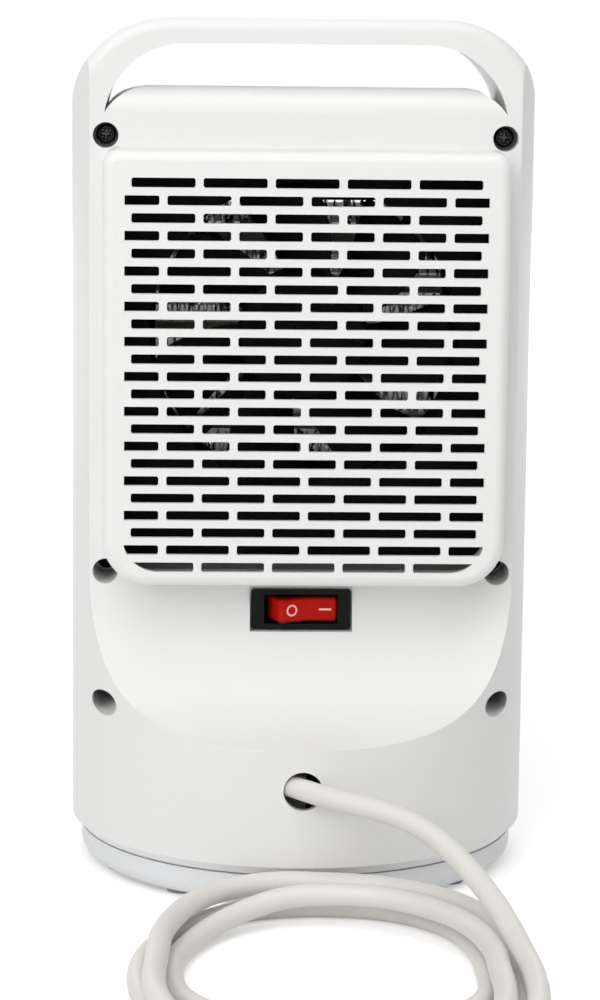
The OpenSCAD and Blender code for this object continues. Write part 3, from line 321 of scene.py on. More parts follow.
def fin_ribbons(sizes):
    """The crumpled fins: one foil strip to a row, a zigzag in x and z carried along y.

    Each fold line wanders by a seeded noise, and the foil's rear edge curls over, so that its
    small faces look every way."""
    low, high = (np.array(corner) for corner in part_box("heater_fins"))
    shape = (sizes.fin_folds + 1, FIN_RINGS)
    fold_h, inset, rim = sizes.fin_height, 0.0004, 0.0001
    noise = np.random.default_rng(FIN_SEED)
    zigzag = 0.5 + 0.46 * np.where(np.arange(shape[0]) % 2, 1, -1)[:, None]
    straight = np.linspace(low[0] + inset, high[0] - inset, shape[0])[:, None]
    t = np.linspace(0, 1, FIN_RINGS)[None]
    curl = sizes.fin_crumple * (0.35 + np.clip(t - 0.6, 0, 1) * 5.0)
    sheets = []
    for base in np.linspace(low[2], high[2] - fold_h, FIN_ROWS):
        x = np.clip(straight + curl * noise.normal(size=shape), low[0], high[0])
        z = base + fold_h * zigzag + curl * noise.normal(size=shape)
        z = np.clip(z, base + rim, base + fold_h - rim)
        y = low[1] + (high[1] - low[1]) * t - np.abs(curl * noise.normal(size=shape)) * (t > 0.5)
        sheets.append((np.stack([x, y, z], -1).reshape(-1, 3),
                       grid_faces(*shape, False).tolist()))
    fins = joined("fin_ribbons", sheets, smooth=False)
    solid = fins.modifiers.new("foil thickness", "SOLIDIFY")
    solid.thickness, solid.offset = FIN_GAUGE, 0.0
    return fins


def blade_skin(rings):
    """Points and faces of a skin over lens-shaped rings, whose ends close with strips between
    the two sides of the lens."""
    count, around = rings.shape[:2]
    half = np.arange(around // 2 - 1)
    strip = np.stack([half, half + 1, around - 2 - half, around - 1 - half], -1)
    faces = np.concatenate([grid_faces(count, around), strip[:, ::-1],
                            strip + (count - 1) * around])
    return rings.reshape(-1, 3), faces.tolist()


def fan_wheel_skins(cover):
    """The axial fan: a cup hub and twisted blades between cylinders of growing radius.

    On the cylinder of radius r a blade's section is a lens round an arc: its angle runs by
    c half_width(r) to both sides of a line that sweeps back with r, its depth falls with c along
    the pitch and bulges by the camber (1 - c^2), and its faces stand apart by thickness sin w."""
    (low, high), inner = HUB_Y, HUB_R - HUB_WALL
    hub = [(0.2, low), (4.2, low), (4.2, high - 2.2), (inner, high - 2.2), (inner, low),
           (HUB_R, low), (HUB_R, high - 1.6), (HUB_R - 0.2, high - 0.8), (HUB_R - 0.8, high - 0.2),
           (HUB_R - 1.6, high), (HUB_R - 5, high), (HUB_R - 5.4, high - 0.5), (0.2, high - 0.5)]
    skins = [turned(hub, (0, 0, FAN_Z), (0, 1, 0), 96)]
    # the radii start inside the hub's wall, and w runs round the lens, clear of its two edges
    r = np.linspace(HUB_R - HUB_WALL / 2, BLADE_TIP_R, 28)[:, None]
    along = (r - HUB_R) / (BLADE_TIP_R - HUB_R)
    w = (np.arange(32)[None] + 0.5) * 2 * math.pi / 32
    c = np.cos(w)
    width = math.pi / BLADES * (BLADE_ROOT_COVER + (cover - BLADE_ROOT_COVER) * along)
    width = width * (1 - 0.12 * np.clip(along * 8 - 7, 0, 1) ** 2)
    depth = (high - low) / 2 - 1.2 - 0.8 * along
    y = (low + high) / 2 + depth * c + 1.6 * (1 - c ** 2) - (0.75 - 0.25 * along) * np.sin(w)
    for k in range(BLADES):
        angle = BLADE_PHASE + 2 * math.pi * k / BLADES - BLADE_SWEEP * (along - 0.5) + c * width
        rings = np.stack([-r * np.sin(angle), y, FAN_Z + r * np.cos(angle)], -1) * MM
        skins.append(blade_skin(rings))
    return skins


def screw_skin(x, z, seat, tip):
    """A pan-head screw along Y: a shank, a flat underside and a domed head with a cross recess.

    The head is a dome y = rise sqrt(1 - (r / radius)^2), less the recess, which is the larger of
    two crossed slots; a slot is the product of two steps of the distance to its outline."""
    t = np.linspace(0, math.pi / 2, 26)
    dome_r, dome_y = HEAD_R * np.cos(t), seat + HEAD_EDGE + HEAD_DOME * np.sin(t)
    foot_r = np.array([0.1, 1.0, SHANK_R, SHANK_R, HEAD_R - 0.3, HEAD_R])
    foot_y = np.array([tip, tip, tip + 1.2, seat, seat, seat + 0.3])
    r = np.concatenate([foot_r, dome_r[:-1], [0.05]])[:, None]
    y = np.concatenate([foot_y, dome_y])[:, None]
    a = np.linspace(0, 2 * math.pi, 96, endpoint=False)[None]
    turn = a + HEAD_TURN

    def slot(across, along):
        sides, ends = (np.clip((half - np.abs(off)) / soft + 0.5, 0, 1)
                       for off, half, soft in ((across, RECESS_HALF, 0.3),
                                               (along, RECESS_LENGTH, 0.4)))
        return sides * ends

    u, v = r * np.cos(turn), r * np.sin(turn)
    recess = np.maximum(slot(u, v), slot(v, u)) * (np.arange(len(r)) >= len(foot_r))[:, None]
    rings = np.stack([x + r * np.cos(a), y - RECESS_DEPTH * recess, z - r * np.sin(a)], -1) * MM
    return skin(rings)


def plug_skin():
    """The moulded plug: a ribbed sleeve, a flared grip with flutes, and a round head with two
    grooves for the side contacts. The flutes are a cosine of the angle, eased in and out."""
    ribs = [(5.2 + 0.05 * k + 0.75 * (side in (1, 2)), 1.6 + 2.6 * k + 0.65 * side)
            for k in range(5) for side in range(4)]
    profile = [(0.2, 0), (4.6, 0), (5.2, 0.8), *ribs, (7.5, 15), (8.5, 20), (9.2, 23), (11, 27),
               (14.5, 30.2), (16.6, 31.8), (17.8, 32.9), (PLUG_R, 34), (PLUG_R, 38), (PLUG_R, 42),
               (PLUG_R, 46), (18.2, 47), (17.4, 47.7), (16.6, 48), (12, 48), (0.2, 48)]

    def shape(angle, place):
        eased = np.clip((place - 15) / 4, 0, 1) * np.clip((31 - place) / 4, 0, 1)
        groove = (np.abs(np.sin(angle)) < 0.155) & (place > 33.5)
        return np.where(groove, 1 - GROOVE_DEPTH / PLUG_R,
                        1 + 0.03 * np.cos(FLUTES * angle) * eased)

    return turned(profile, TAIL_ROUTE[-1], (0, 1, 0), 192, shape)


# ---------------------------------------------------------------- materials


def feed(tree, target, source):
    """Gives an input another node's output or a plain value."""
    if isinstance(source, bpy.types.NodeSocket):
        tree.links.new(source, target)
    else:
        target.default_value = source


def node(tree, kind, *sources, **values):
    """A new node: the sources feed its first inputs by place, and the values its settings or
    its inputs by name."""
    made = tree.nodes.new(kind)
    for name, value in values.items():
        if hasattr(made, name):
            setattr(made, name, value)
        else:
            feed(tree, made.inputs[name.replace("_", " ")], value)
    for target, source in zip(made.inputs, sources):
        feed(tree, target, source)
    return made


def mixed(tree, factor, first, second):
    """The colour between two others, by the factor."""
    mix = node(tree, "ShaderNodeMix", factor, data_type="RGBA")
    feed(tree, mix.inputs[MIX_FIRST], first)
    feed(tree, mix.inputs[MIX_SECOND], second)
    return mix.outputs[MIX_RESULT]


def new_group(name, outputs, inputs):
    """A node group with named inputs, each a number, a vector of 3 or a colour of 4, and named
    outputs. Gives the group, the sockets at its two ends and the Object coordinates in it."""
    group = bpy.data.node_groups.new(name, "ShaderNodeTree")
    kinds = {1: "NodeSocketFloat", 3: "NodeSocketVector", 4: "NodeSocketColor"}
    for key, value in inputs.items():
        made = group.interface.new_socket(name=key, in_out="INPUT",
                                          socket_type=kinds[np.size(value)])
        made.default_value = value
    for key, kind in outputs.items():
        group.interface.new_socket(name=key, in_out="OUTPUT", socket_type=kind)
    given, wanted, place_at = (group.nodes.new(kind) for kind in (
        "NodeGroupInput", "NodeGroupOutput", "ShaderNodeTexCoord"))
    return group, given.outputs, wanted.inputs, place_at.outputs["Object"]


def surface_ends(group, given, wanted, gloss, height):
    """Ends a surface group: Roughness is gloss * Spread + Gloss, and the Height goes out."""
    varied = node(group, "ShaderNodeMath", gloss, given["Spread"], given["Gloss"],
                  operation="MULTIPLY_ADD")
    group.links.new(varied.outputs[0], wanted["Roughness"])
    group.links.new(height, wanted["Height"])
    return group


def grain_group():
    """Spark-eroded mould skin: a fine noise gives the height, and a broad one varies the gloss."""
    group, given, wanted, at = new_group(
        "Moulded grain", SURFACE_OUT, {"Scale": 1500.0, "Gloss": 0.4, "Spread": 0.06})
    fine = node(group, "ShaderNodeTexNoise", at, Scale=given["Scale"], Detail=3.0, Roughness=0.6)
    broad = node(group, "ShaderNodeTexNoise", at, Scale=60.0, Detail=2.0)
    centred = node(group, "ShaderNodeMath", broad.outputs["Fac"], 0.5, operation="SUBTRACT")
    return surface_ends(group, given, wanted, centred.outputs[0], fine.outputs["Fac"])


def tint_group():
    """Two close shades of one colour, mixed by a slow noise."""
    group, given, wanted, at = new_group(
        "Pigment", {"Colour": "NodeSocketColor"},
        {"Light": (0.8, 0.8, 0.8, 1), "Deep": (0.75, 0.75, 0.75, 1), "Scale": 25.0})
    clouds = node(group, "ShaderNodeTexNoise", at, Scale=given["Scale"], Detail=4.0,
                  Roughness=0.55)
    spread = node(group, "ShaderNodeMapRange", clouds.outputs["Fac"], 0.3, 0.7)
    group.links.new(mixed(group, spread.outputs["Result"], given["Light"], given["Deep"]),
                    wanted["Colour"])
    return group


def brushed_group():
    """Drawn or rolled metal: a noise stretched by the Stretch vector gives gloss and height."""
    group, given, wanted, at = new_group(
        "Drawn metal", SURFACE_OUT,
        {"Stretch": (1500.0, 60.0, 1500.0), "Gloss": 0.3, "Spread": 0.15})
    scaled = node(group, "ShaderNodeVectorMath", at, given["Stretch"], operation="MULTIPLY")
    lines = node(group, "ShaderNodeTexNoise", scaled.outputs[0], Scale=1.0, Detail=3.0)
    return surface_ends(group, given, wanted, lines.outputs["Fac"], lines.outputs["Fac"])


def foil_group():
    """Crumpled foil: flat facets from the city-block distance to scattered points give the height,
    and a stretched noise turns parts of the sheet dull."""
    group, given, wanted, at = new_group(
        "Crumpled foil", SURFACE_OUT, {"Scale": 260.0, "Gloss": 0.12, "Spread": 0.3})
    flatter = node(group, "ShaderNodeVectorMath", at, (0.55, 1.0, 1.3), operation="MULTIPLY")
    facets = node(group, "ShaderNodeTexVoronoi", flatter.outputs[0], distance="MANHATTAN",
                  Scale=given["Scale"], Randomness=1.0)
    dull = node(group, "ShaderNodeTexNoise", flatter.outputs[0], Scale=180.0, Detail=2.0)
    return surface_ends(group, given, wanted, dull.outputs["Fac"], facets.outputs["Distance"])


def box_group():
    """A box mask: the largest over the three axes of |place - centre| / half, which is 1 on the
    box's faces, turned into 1 inside and 0 outside with a soft edge."""
    group, given, wanted, at = new_group(
        "Box mask", MASK_OUT, {"Centre": (0.0, 0.0, 0.0), "Half": (1.0, 1.0, 1.0), "Core": 0.9})
    away = node(group, "ShaderNodeVectorMath", at, given["Centre"], operation="SUBTRACT")
    share = node(group, "ShaderNodeVectorMath", away.outputs[0], given["Half"],
                 operation="DIVIDE")
    share = node(group, "ShaderNodeVectorMath", share.outputs[0], operation="ABSOLUTE")
    x, y, z = node(group, "ShaderNodeSeparateXYZ", share.outputs[0]).outputs
    larger = node(group, "ShaderNodeMath", x, y, operation="MAXIMUM")
    largest = node(group, "ShaderNodeMath", larger.outputs[0], z, operation="MAXIMUM")
    edge = node(group, "ShaderNodeMapRange", largest.outputs[0], given["Core"], 1.0, 1.0, 0.0,
                interpolation_type="SMOOTHSTEP")
    group.links.new(edge.outputs["Result"], wanted["Inside"])
    return group


def bore_group():
    """A mask for a pair of bores along Y at plus and minus x: 1 where the distance of (|x|, z) from
    the bore's axis is under its radius and y is at its floor, falling to 0 towards its rim."""
    group, given, wanted, at = new_group(
        "Bore mask", MASK_OUT,
        {"Axis": (0.0, 0.0, 0.0), "Radius": 0.004, "Floor": 0.0, "Rim": 0.01})
    x, y, z = node(group, "ShaderNodeSeparateXYZ", at).outputs
    aside = node(group, "ShaderNodeMath", x, operation="ABSOLUTE")
    flat = node(group, "ShaderNodeCombineXYZ", aside.outputs[0], 0.0, z)
    away = node(group, "ShaderNodeVectorMath", flat.outputs[0], given["Axis"],
                operation="DISTANCE")
    near = node(group, "ShaderNodeMath", away.outputs["Value"], given["Radius"],
                operation="LESS_THAN")
    depth = node(group, "ShaderNodeMapRange", y, given["Rim"], given["Floor"])
    both = node(group, "ShaderNodeMath", near.outputs[0], depth.outputs["Result"],
                operation="MULTIPLY")
    group.links.new(both.outputs[0], wanted["Inside"])
    return group


def grouped(tree, maker, inputs):
    """A node that places the maker's group, which is built once, with its own values."""
    if maker not in GROUPS:
        GROUPS[maker] = maker()
    made = node(tree, "ShaderNodeGroup", node_tree=GROUPS[maker])
    for key, value in inputs.items():
        made.inputs[key].default_value = value
    return made


def finish_material(name, colour, deep, surface, inputs, bump, **shader):
    """A material: pigment in Base Color, a surface group in Roughness and in Bump's Height,
    and plain values on the shader's own sockets."""
    material = bpy.data.materials.new(name)
    material.use_nodes = True
    tree = material.node_tree
    pigment = grouped(tree, tint_group, {"Light": (*colour, 1), "Deep": (*deep, 1)})
    texture = grouped(tree, surface, inputs)
    strength, distance = bump
    relief = node(tree, "ShaderNodeBump", Strength=strength, Distance=distance,
                  Height=texture.outputs["Height"])
    principled = tree.nodes["Principled BSDF"].inputs
    tree.links.new(pigment.outputs["Colour"], principled["Base Color"])
    tree.links.new(texture.outputs["Roughness"], principled["Roughness"])
    tree.links.new(relief.outputs["Normal"], principled["Normal"])
    for key, value in shader.items():
        principled[key.replace("_", " ")].default_value = value
    return material


def masked_tint(material, maker, inputs, colour, inside=True):
    """Mixes a colour into a material's pigment inside a mask, or outside it, to paint shade on it.
    """
    tree = material.node_tree
    base = tree.nodes["Principled BSDF"].inputs["Base Color"]
    mask = grouped(tree, maker, inputs)
    pair = base.links[0].from_socket, (*colour, 1)
    if not inside:
        pair = pair[::-1]
    tree.links.new(mixed(tree, mask.outputs["Inside"], *pair), base)
    return material


def shade(colour, factor):
    """The colour made darker or lighter by a factor."""
    return tuple(min(1.0, c * factor) for c in colour)


def plastic(name, colour, gloss, grain=1500.0, relief=0.25, depth=0.985, **shader):
    """A moulded plastic."""
    return finish_material(name, colour, shade(colour, depth), grain_group,
                           {"Scale": grain, "Gloss": gloss}, (relief, GRAIN_DEPTH), **shader)


def black(name, value, gloss):
    """A dull black plastic, which mirrors little of the studio."""
    return plastic(name, (value, value, value * 1.03), gloss, relief=0.12, depth=0.9,
                   Specular_IOR_Level=0.1)


def metal(name, colour, gloss, stretch):
    """A rolled, turned or drawn metal."""
    return finish_material(name, colour, shade(colour, 0.9), brushed_group,
                           {"Stretch": stretch, "Gloss": gloss}, (0.2, BRUSH_DEPTH),
                           Metallic=1.0)


def seen_rays(tree):
    """1 for camera, glossy and transmission rays, which all meet the plain white background."""
    rays = tree.nodes.new("ShaderNodeLightPath").outputs
    either = node(tree, "ShaderNodeMath", rays["Is Camera Ray"], rays["Is Glossy Ray"],
                  operation="MAXIMUM")
    every = node(tree, "ShaderNodeMath", either.outputs[0], rays["Is Transmission Ray"],
                 operation="MAXIMUM")
    return every.outputs[0]


def dress(name, material):
    """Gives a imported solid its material."""
    slots = NODES[name].material_slots
    if not slots:
        NODES[name].data.materials.append(material)
    for slot in slots:
        slot.material = material


def place(piece, body, slot, material, *replaced):
    """Finishes a new piece: material, body and the solids it stands for; slot is not used."""
    piece.data.materials.append(material)
    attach(piece, body)
    if replaced:
        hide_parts(*replaced)
    return piece


# ---------------------------------------------------------------- settings


class HeaterSizes(bpy.types.PropertyGroup):
    """Sizes of the pieces that the looks add to the solids."""

    cord_diameter: FloatProperty(name="Lead diameter", description="Diameter of the mains lead",
                                 default=0.0068, min=0.006, max=0.0072, unit="LENGTH")
    cord_steps: IntProperty(name="Lead steps", description="Rings of the lead per route point",
                            default=5, min=2, max=8)
    fin_folds: IntProperty(name="Fin folds", description="Folds of the foil in each row",
                           default=62, min=40, max=140)
    fin_height: FloatProperty(name="Fin height", description="Height of one row of fins",
                              default=FIN_H, min=0.003, max=0.02, unit="LENGTH")
    fin_crumple: FloatProperty(name="Fin crumple", description="How far the foil's folds wander",
                               default=0.0004, min=0.0, max=0.001, unit="LENGTH")
    blade_cover: FloatProperty(name="Blade cover",
                               description="Share of the circle under the blade tips",
                               default=0.63, min=0.3, max=0.85, subtype="FACTOR")
    rocker_edge: FloatProperty(name="Rocker edge", description="Radius of the rocker's long edges",
                               default=0.0013, min=0.0002, max=0.00138, unit="LENGTH")
    mark_proud: FloatProperty(name="Mark height", description="Height of the marks on the rocker",
                              default=0.0001, min=0.00002, max=0.0005, unit="LENGTH")


class HeaterColours(bpy.types.PropertyGroup):
    """Colours of the finishes."""

    shell: FloatVectorProperty(name="Shell", description="White of the shells and grilles",
                               subtype="COLOR", size=3, default=(0.83, 0.83, 0.82), min=0, max=1)
    foot: FloatVectorProperty(name="Foot", description="Cool light grey of the foot",
                              subtype="COLOR", size=3, default=(0.78, 0.79, 0.80), min=0, max=1)
    rocker: FloatVectorProperty(name="Rocker", description="Red of the mains rocker",
                                subtype="COLOR", size=3, default=(0.58, 0.010, 0.006), min=0, max=1)
    cord: FloatVectorProperty(name="Lead", description="Warm white of the lead and plug",
                              subtype="COLOR", size=3, default=(0.78, 0.755, 0.72), min=0, max=1)


# ---------------------------------------------------------------- pieces


class HEATER_OT_camera(bpy.types.Operator):
    """Sets the camera where the photograph was taken from"""

    bl_idname = "heater.camera"
    bl_label = "Camera"

    def execute(self, context):
        data = bpy.data.cameras.new("camera")
        data.lens = CAMERA_LENS
        data.clip_start, data.clip_end = 0.05, 20
        camera = bpy.data.objects.new("camera", data)
        ahead, right = Vector(CAMERA_AHEAD).normalized(), Vector(CAMERA_RIGHT)
        right = (right - ahead * right.dot(ahead)).normalized()
        turn = Matrix((right, right.cross(ahead), -ahead)).transposed()
        camera.matrix_world = Matrix.Translation(CAMERA_AT) @ turn.to_4x4()
        context.scene.collection.objects.link(camera)
        context.scene.camera = camera
        return {"FINISHED"}


class HEATER_OT_lead(bpy.types.Operator):
    """Lays the mains lead along its route and adds its moulded plug"""

    bl_idname = "heater.lead"
    bl_label = "Mains lead"

    def execute(self, context):
        sizes, colours = context.scene.heater_sizes, context.scene.heater_colours
        route = smooth_route(FREE_ROUTE + LOOP_ROUTE + TAIL_ROUTE, sizes.cord_steps)
        rubber = plastic("cord rubber", colours.cord, 0.42, grain=900.0, relief=0.35, depth=0.95)
        lead = tube("mains_lead", route, sizes.cord_diameter / 2, 20)
        place(lead, "housing", "cord_white", rubber, "power_cord", "cord_loops", "cord_tail")
        plug = joined("plug_moulding", [plug_skin()])
        place(plug, "housing", "plug_white",
              plastic("plug plastic", colours.cord, 0.4, grain=900.0, depth=0.96), "plug_body")
        dress("plug_pins", metal("pin nickel", (0.7, 0.68, 0.62), 0.12, DRAWN_LONG))
        return {"FINISHED"}


class HEATER_OT_body(bpy.types.Operator):
    """Finishes the shells, the grilles and their screws"""

    bl_idname = "heater.body"
    bl_label = "Body and grilles"

    def execute(self, context):
        white = context.scene.heater_colours.shell
        dress("front_shell", plastic("satin white shell", white, 0.36, grain=1400.0, relief=0.3))
        # painted shade: the colour is darker on the strip behind the lowest slots and deep in the
        # upper screw bores
        rear = plastic("satin white rear shell", white, 0.36, grain=1400.0, relief=0.3)
        masked_tint(rear, box_group,
                    {"Centre": WELL_CENTRE, "Half": WELL_HALF, "Core": 0.95}, PAINTED_SHADE)
        masked_tint(rear, bore_group,
                    {"Axis": (SCREW_X * MM, 0.0, SCREW_SEATS[0][0] * MM), "Radius": BORE_R * MM,
                     "Floor": BORE_FLOOR * MM, "Rim": BORE_RIM * MM}, PAINTED_SHADE)
        dress("rear_shell", rear)
        grille = plastic("satin white grille", shade(white, 1.03), 0.4, grain=1400.0, relief=0.3)
        dress("intake_grille", grille)
        dress("outlet_grille", grille)
        screws = joined("case_screws", [screw_skin(side * SCREW_X, z, seat, SCREW_TIP)
                                        for z, seat in SCREW_SEATS for side in (-1, 1)])
        place(screws, "housing", "screw_black",
              metal("blackened screw", (0.06, 0.06, 0.063), 0.2, EVEN), "shell_screws")
        dress("bottom_cover", plastic("light grey rim", (0.86, 0.86, 0.86), 0.4))
        return {"FINISHED"}


class HEATER_OT_controls(bpy.types.Operator):
    """Finishes the control panel on the crown, its buttons and its board"""

    bl_idname = "heater.controls"
    bl_label = "Control panel"

    def execute(self, context):
        dress("control_panel", plastic("satin black panel", (0.012, 0.012, 0.013), 0.38,
                                       relief=0.05, Specular_IOR_Level=0.15))
        keys = plastic("white key", (0.8, 0.8, 0.79), 0.3, relief=0.15)
        for name in ("power_button", "swing_button", "timer_button"):
            dress(name, keys)
        dress("control_board", plastic("board lacquer", (0.02, 0.12, 0.05), 0.25, Coat_Weight=0.4))
        dress("key_switches", plastic("key switch", (0.02, 0.02, 0.022), 0.35))
        return {"FINISHED"}


class HEATER_OT_switch(bpy.types.Operator):
    """Makes the mains switch: bezel finish, rocker and its O and I marks"""

    bl_idname = "heater.switch"
    bl_label = "Mains switch"

    def execute(self, context):
        sizes, colours = context.scene.heater_sizes, context.scene.heater_colours
        dress("switch_housing", black("black bezel", 0.008, 0.42))
        dress("switch_terminals", metal("tinned brass", (0.65, 0.52, 0.25), 0.25, DRAWN_LONG))
        # the rocker: its side outline pushed along Z, with its long edges well rounded
        c, sn = math.cos(ROCKER_TILT), math.sin(ROCKER_TILT)
        cap = prism(rounded(ROCKER_SIDE, ROCKER_CORNERS), -ROCKER_H / 2, ROCKER_H / 2,
                    sizes.rocker_edge / MM)
        pin = prism(circle(1.5, 32), -ROCKER_H / 2 - 0.8, ROCKER_H / 2 + 0.8, 0.2)
        frame = (ROCKER_PIVOT, (c, sn, 0), (-sn, c, 0), (0, 0, 1))
        rocker = joined("rocker_cap", [skin(laid(cap, *frame)), skin(laid(pin, *frame))])
        # painted shade: the red is painted darker towards its long edges, where the bezel shades it
        red = plastic("red rocker", colours.rocker, 0.3, relief=0.05, depth=0.8,
                      Specular_IOR_Level=0.08)
        masked_tint(red, box_group,
                    {"Centre": Vector(ROCKER_PIVOT) * MM, "Half": (0.1, 0.1, ROCKER_H / 2 * MM),
                     "Core": 0.62}, (0.02, 0.001, 0.001), inside=False)
        place(rocker, "rocker", "rocker_red", red, "rocker")
        # the marks stand a little proud: a ring on the raised half and a bar on the level one
        proud = sizes.mark_proud / MM
        c2, s2 = math.cos(2 * ROCKER_TILT), math.sin(2 * ROCKER_TILT)
        valley = np.array(ROCKER_PIVOT) + VALLEY * np.array([-sn, c, 0])
        ring_at = valley + RING_AT * np.array([c2, s2, 0])
        turn = np.linspace(0, 2 * math.pi, 48, endpoint=False)[:, None]
        lap = np.linspace(0, 2 * math.pi, 12, endpoint=False)[None]
        r = RING_R + RING_HALF * np.cos(lap)
        ring = np.stack([r * np.cos(turn), r * np.sin(turn),
                         np.repeat(proud * np.sin(lap), len(turn), 0)], -1)
        bar_at = valley - np.array([BAR_AT, 0, 0])
        corners = [(i * BAR_LENGTH, j * BAR_HALF) for i, j in ((-1, -1), (1, -1), (1, 1), (-1, 1))]
        bar = prism(rounded(corners, 0.2), -proud, proud, 0.8 * proud, 4)
        marks = joined("rocker_marks", [
            loop_skin(laid(ring, ring_at, (c2, s2, 0), (0, 0, -1), (-s2, c2, 0))[:, ::-1]),
            skin(laid(bar, bar_at, (1, 0, 0), (0, 0, -1), (0, 1, 0)))])
        place(marks, "rocker", "button_white",
              plastic("rocker print", (0.95, 0.63, 0.56), 0.5, relief=0.05))
        return {"FINISHED"}


class HEATER_OT_fan(bpy.types.Operator):
    """Finishes the fan, its shroud and its motor"""

    bl_idname = "heater.fan"
    bl_label = "Fan"

    def execute(self, context):
        dress("fan_shroud", black("shroud black", 0.004, 0.65))
        wheel = joined("fan_wheel", fan_wheel_skins(context.scene.heater_sizes.blade_cover))
        place(wheel, "fan", "inner_black", black("blade black", 0.004, 0.6), "impeller")
        steel = metal("rolled steel", (0.56, 0.56, 0.57), 0.25, DRAWN)
        for name in ("motor_can", "motor_shaft", "shroud_screws", "swing_motor", "clamp_screws",
                     "gear_screws", "foot_screws"):
            dress(name, steel)
        dress("motor_rotor", metal("dull iron", (0.3, 0.3, 0.31), 0.4, DRAWN))
        dress("motor_stator", metal("copper wire", (0.72, 0.32, 0.16), 0.3, (60.0, 3000.0, 60.0)))
        dress("motor_bearings", metal("bearing bronze", (0.5, 0.34, 0.15), 0.3, DRAWN))
        return {"FINISHED"}


class HEATER_OT_heating(bpy.types.Operator):
    """Finishes the heating element and its cut-out"""

    bl_idname = "heater.heating"
    bl_label = "Heating element"

    def execute(self, context):
        dress("heater_frame", black("frame black", 0.005, 0.6))
        dress("ceramic_bars", plastic("ceramic", (0.5, 0.47, 0.42), 0.6, depth=0.85))
        fins = fin_ribbons(context.scene.heater_sizes)
        place(fins, "housing", "fin_aluminium", finish_material(
            "fin foil", (0.93, 0.93, 0.94), (0.8, 0.8, 0.81), foil_group,
            {"Scale": 420.0, "Gloss": 0.1, "Spread": 0.15}, (0.6, FOIL_DEPTH), Metallic=1.0),
            "heater_fins")
        dress("heater_terminals", metal("tinned tag", (0.65, 0.52, 0.25), 0.25, DRAWN_LONG))
        dress("thermal_cutout", metal("cut-out can", (0.6, 0.6, 0.6), 0.25, (60.0, 900.0, 900.0)))
        return {"FINISHED"}


class HEATER_OT_foot(bpy.types.Operator):
    """Finishes the foot, its plate, pads and swing gears"""

    bl_idname = "heater.foot"
    bl_label = "Foot"

    def execute(self, context):
        dress("foot_shell", plastic("foot grey", context.scene.heater_colours.foot, 0.42,
                                    grain=1200.0, relief=0.35))
        dress("foot_plate", plastic("plate grey", (0.2, 0.2, 0.21), 0.5))
        dress("rubber_pads", plastic("pad rubber", (0.34, 0.35, 0.37), 0.75, relief=0.5))
        nylon = plastic("gear nylon", (0.75, 0.72, 0.64), 0.35)
        for name in ("ring_gear", "swing_pinion", "glide_ring"):
            dress(name, nylon)
        dress("cord_clamp", plastic("clamp black", (0.02, 0.02, 0.022), 0.5))
        return {"FINISHED"}


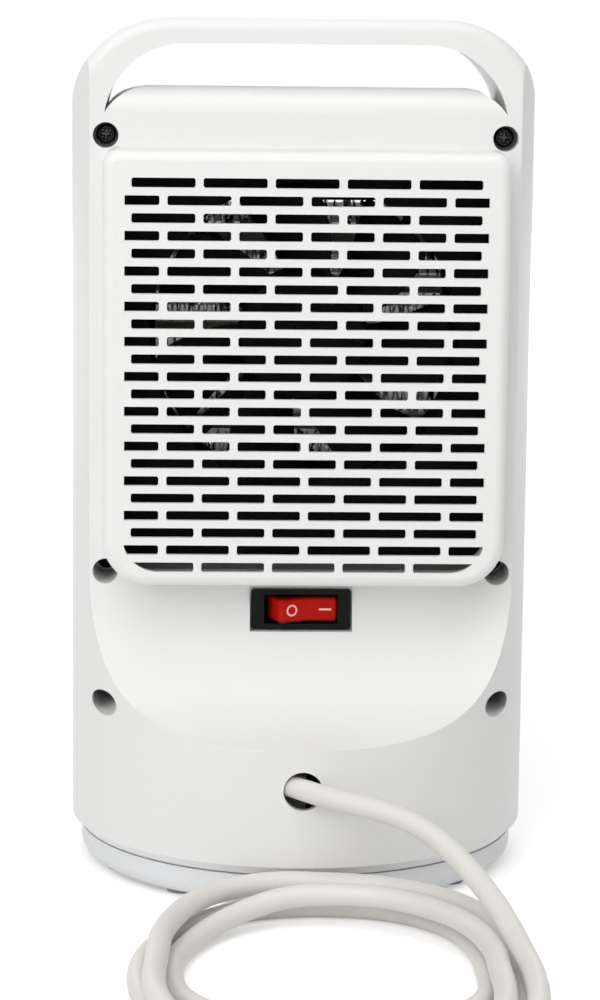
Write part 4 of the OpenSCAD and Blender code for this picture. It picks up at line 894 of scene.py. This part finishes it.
class HEATER_OT_stage(bpy.types.Operator):
    """Adds the floor, the lamps and the world"""

    bl_idname = "heater.stage"
    bl_label = "Stage"

    def execute(self, context):
        scene = context.scene
        scene.view_settings.view_transform = "Standard"
        # the floor: a flat square sheet of a pale paper
        line = np.linspace(-FLOOR_HALF, FLOOR_HALF, 25)
        x, y = np.meshgrid(line, line)
        floor = put_mesh("floor", np.stack([x, y, np.zeros_like(x)], -1), grid_faces(25, 25, False))
        paper = plastic("floor paper", (0.86, 0.86, 0.86), 0.9, relief=0.02, Emission_Strength=1.0)
        # it glows a little to the eye, and more towards its rim, where the lamps don't reach
        tree = paper.node_tree
        place_at = tree.nodes.new("ShaderNodeTexCoord")
        reach = node(tree, "ShaderNodeVectorMath", place_at.outputs["Object"], operation="LENGTH")
        glow = node(tree, "ShaderNodeMapRange", reach.outputs["Value"], *FLOOR_GLOW,
                    interpolation_type="SMOOTHSTEP")
        seen = node(tree, "ShaderNodeMath", glow.outputs["Result"], seen_rays(tree),
                    operation="MULTIPLY")
        tree.links.new(seen.outputs[0], tree.nodes["Principled BSDF"].inputs["Emission Color"])
        floor.data.materials.append(paper)
        # the world lights softly, and shows itself as plain white
        world = bpy.data.worlds.new("studio")
        world.use_nodes = True
        scene.world = world
        tree = world.node_tree
        tree.nodes.clear()
        lit = node(tree, "ShaderNodeBackground", WHITE, WORLD_LIGHT)
        white = node(tree, "ShaderNodeBackground", WHITE, 1.0)
        mix = node(tree, "ShaderNodeMixShader", seen_rays(tree), lit.outputs[0], white.outputs[0])
        node(tree, "ShaderNodeOutputWorld", mix.outputs[0])
        for name, (spot, size, power) in LAMPS.items():
            lamp = bpy.data.lights.new(name, "AREA")
            lamp.shape, lamp.size, lamp.energy = "DISK", size, power
            holder = bpy.data.objects.new(name, lamp)
            holder.location = spot
            aim = Vector(LAMP_AIM) - Vector(spot)
            holder.rotation_mode = "QUATERNION"
            holder.rotation_quaternion = aim.to_track_quat("-Z", "Y")
            scene.collection.objects.link(holder)
        return {"FINISHED"}


OPERATORS = (HEATER_OT_camera, HEATER_OT_lead, HEATER_OT_body, HEATER_OT_controls,
             HEATER_OT_switch, HEATER_OT_fan, HEATER_OT_heating, HEATER_OT_foot, HEATER_OT_stage)


class HEATER_PT_panel(bpy.types.Panel):
    """Lists the sizes, the colours and the steps that dress the heater"""

    bl_idname = "HEATER_PT_panel"
    bl_label = "Fan heater"
    bl_space_type = "VIEW_3D"
    bl_region_type = "UI"
    bl_category = "Heater"

    def draw(self, context):
        layout = self.layout
        for group in (context.scene.heater_sizes, context.scene.heater_colours):
            for name in group.bl_rna.properties.keys():
                if name not in ("rna_type", "name"):
                    layout.prop(group, name)
        for operator in OPERATORS:
            layout.operator(operator.bl_idname)


CLASSES = (HeaterSizes, HeaterColours, *OPERATORS, HEATER_PT_panel)


def register():
    """Registers the classes and hangs the settings on the scene."""
    for cls in CLASSES:
        bpy.utils.register_class(cls)
    bpy.types.Scene.heater_sizes = PointerProperty(type=HeaterSizes)
    bpy.types.Scene.heater_colours = PointerProperty(type=HeaterColours)


def unregister():
    """Takes the settings and the classes away again."""
    del bpy.types.Scene.heater_colours
    del bpy.types.Scene.heater_sizes
    for cls in reversed(CLASSES):
        bpy.utils.unregister_class(cls)


def main():
    """Dresses the whole heater."""
    register()
    for step in OPERATORS:
        part, name = step.bl_idname.split(".")
        getattr(getattr(bpy.ops, part), name)()


if __name__ == "__main__":
    main()
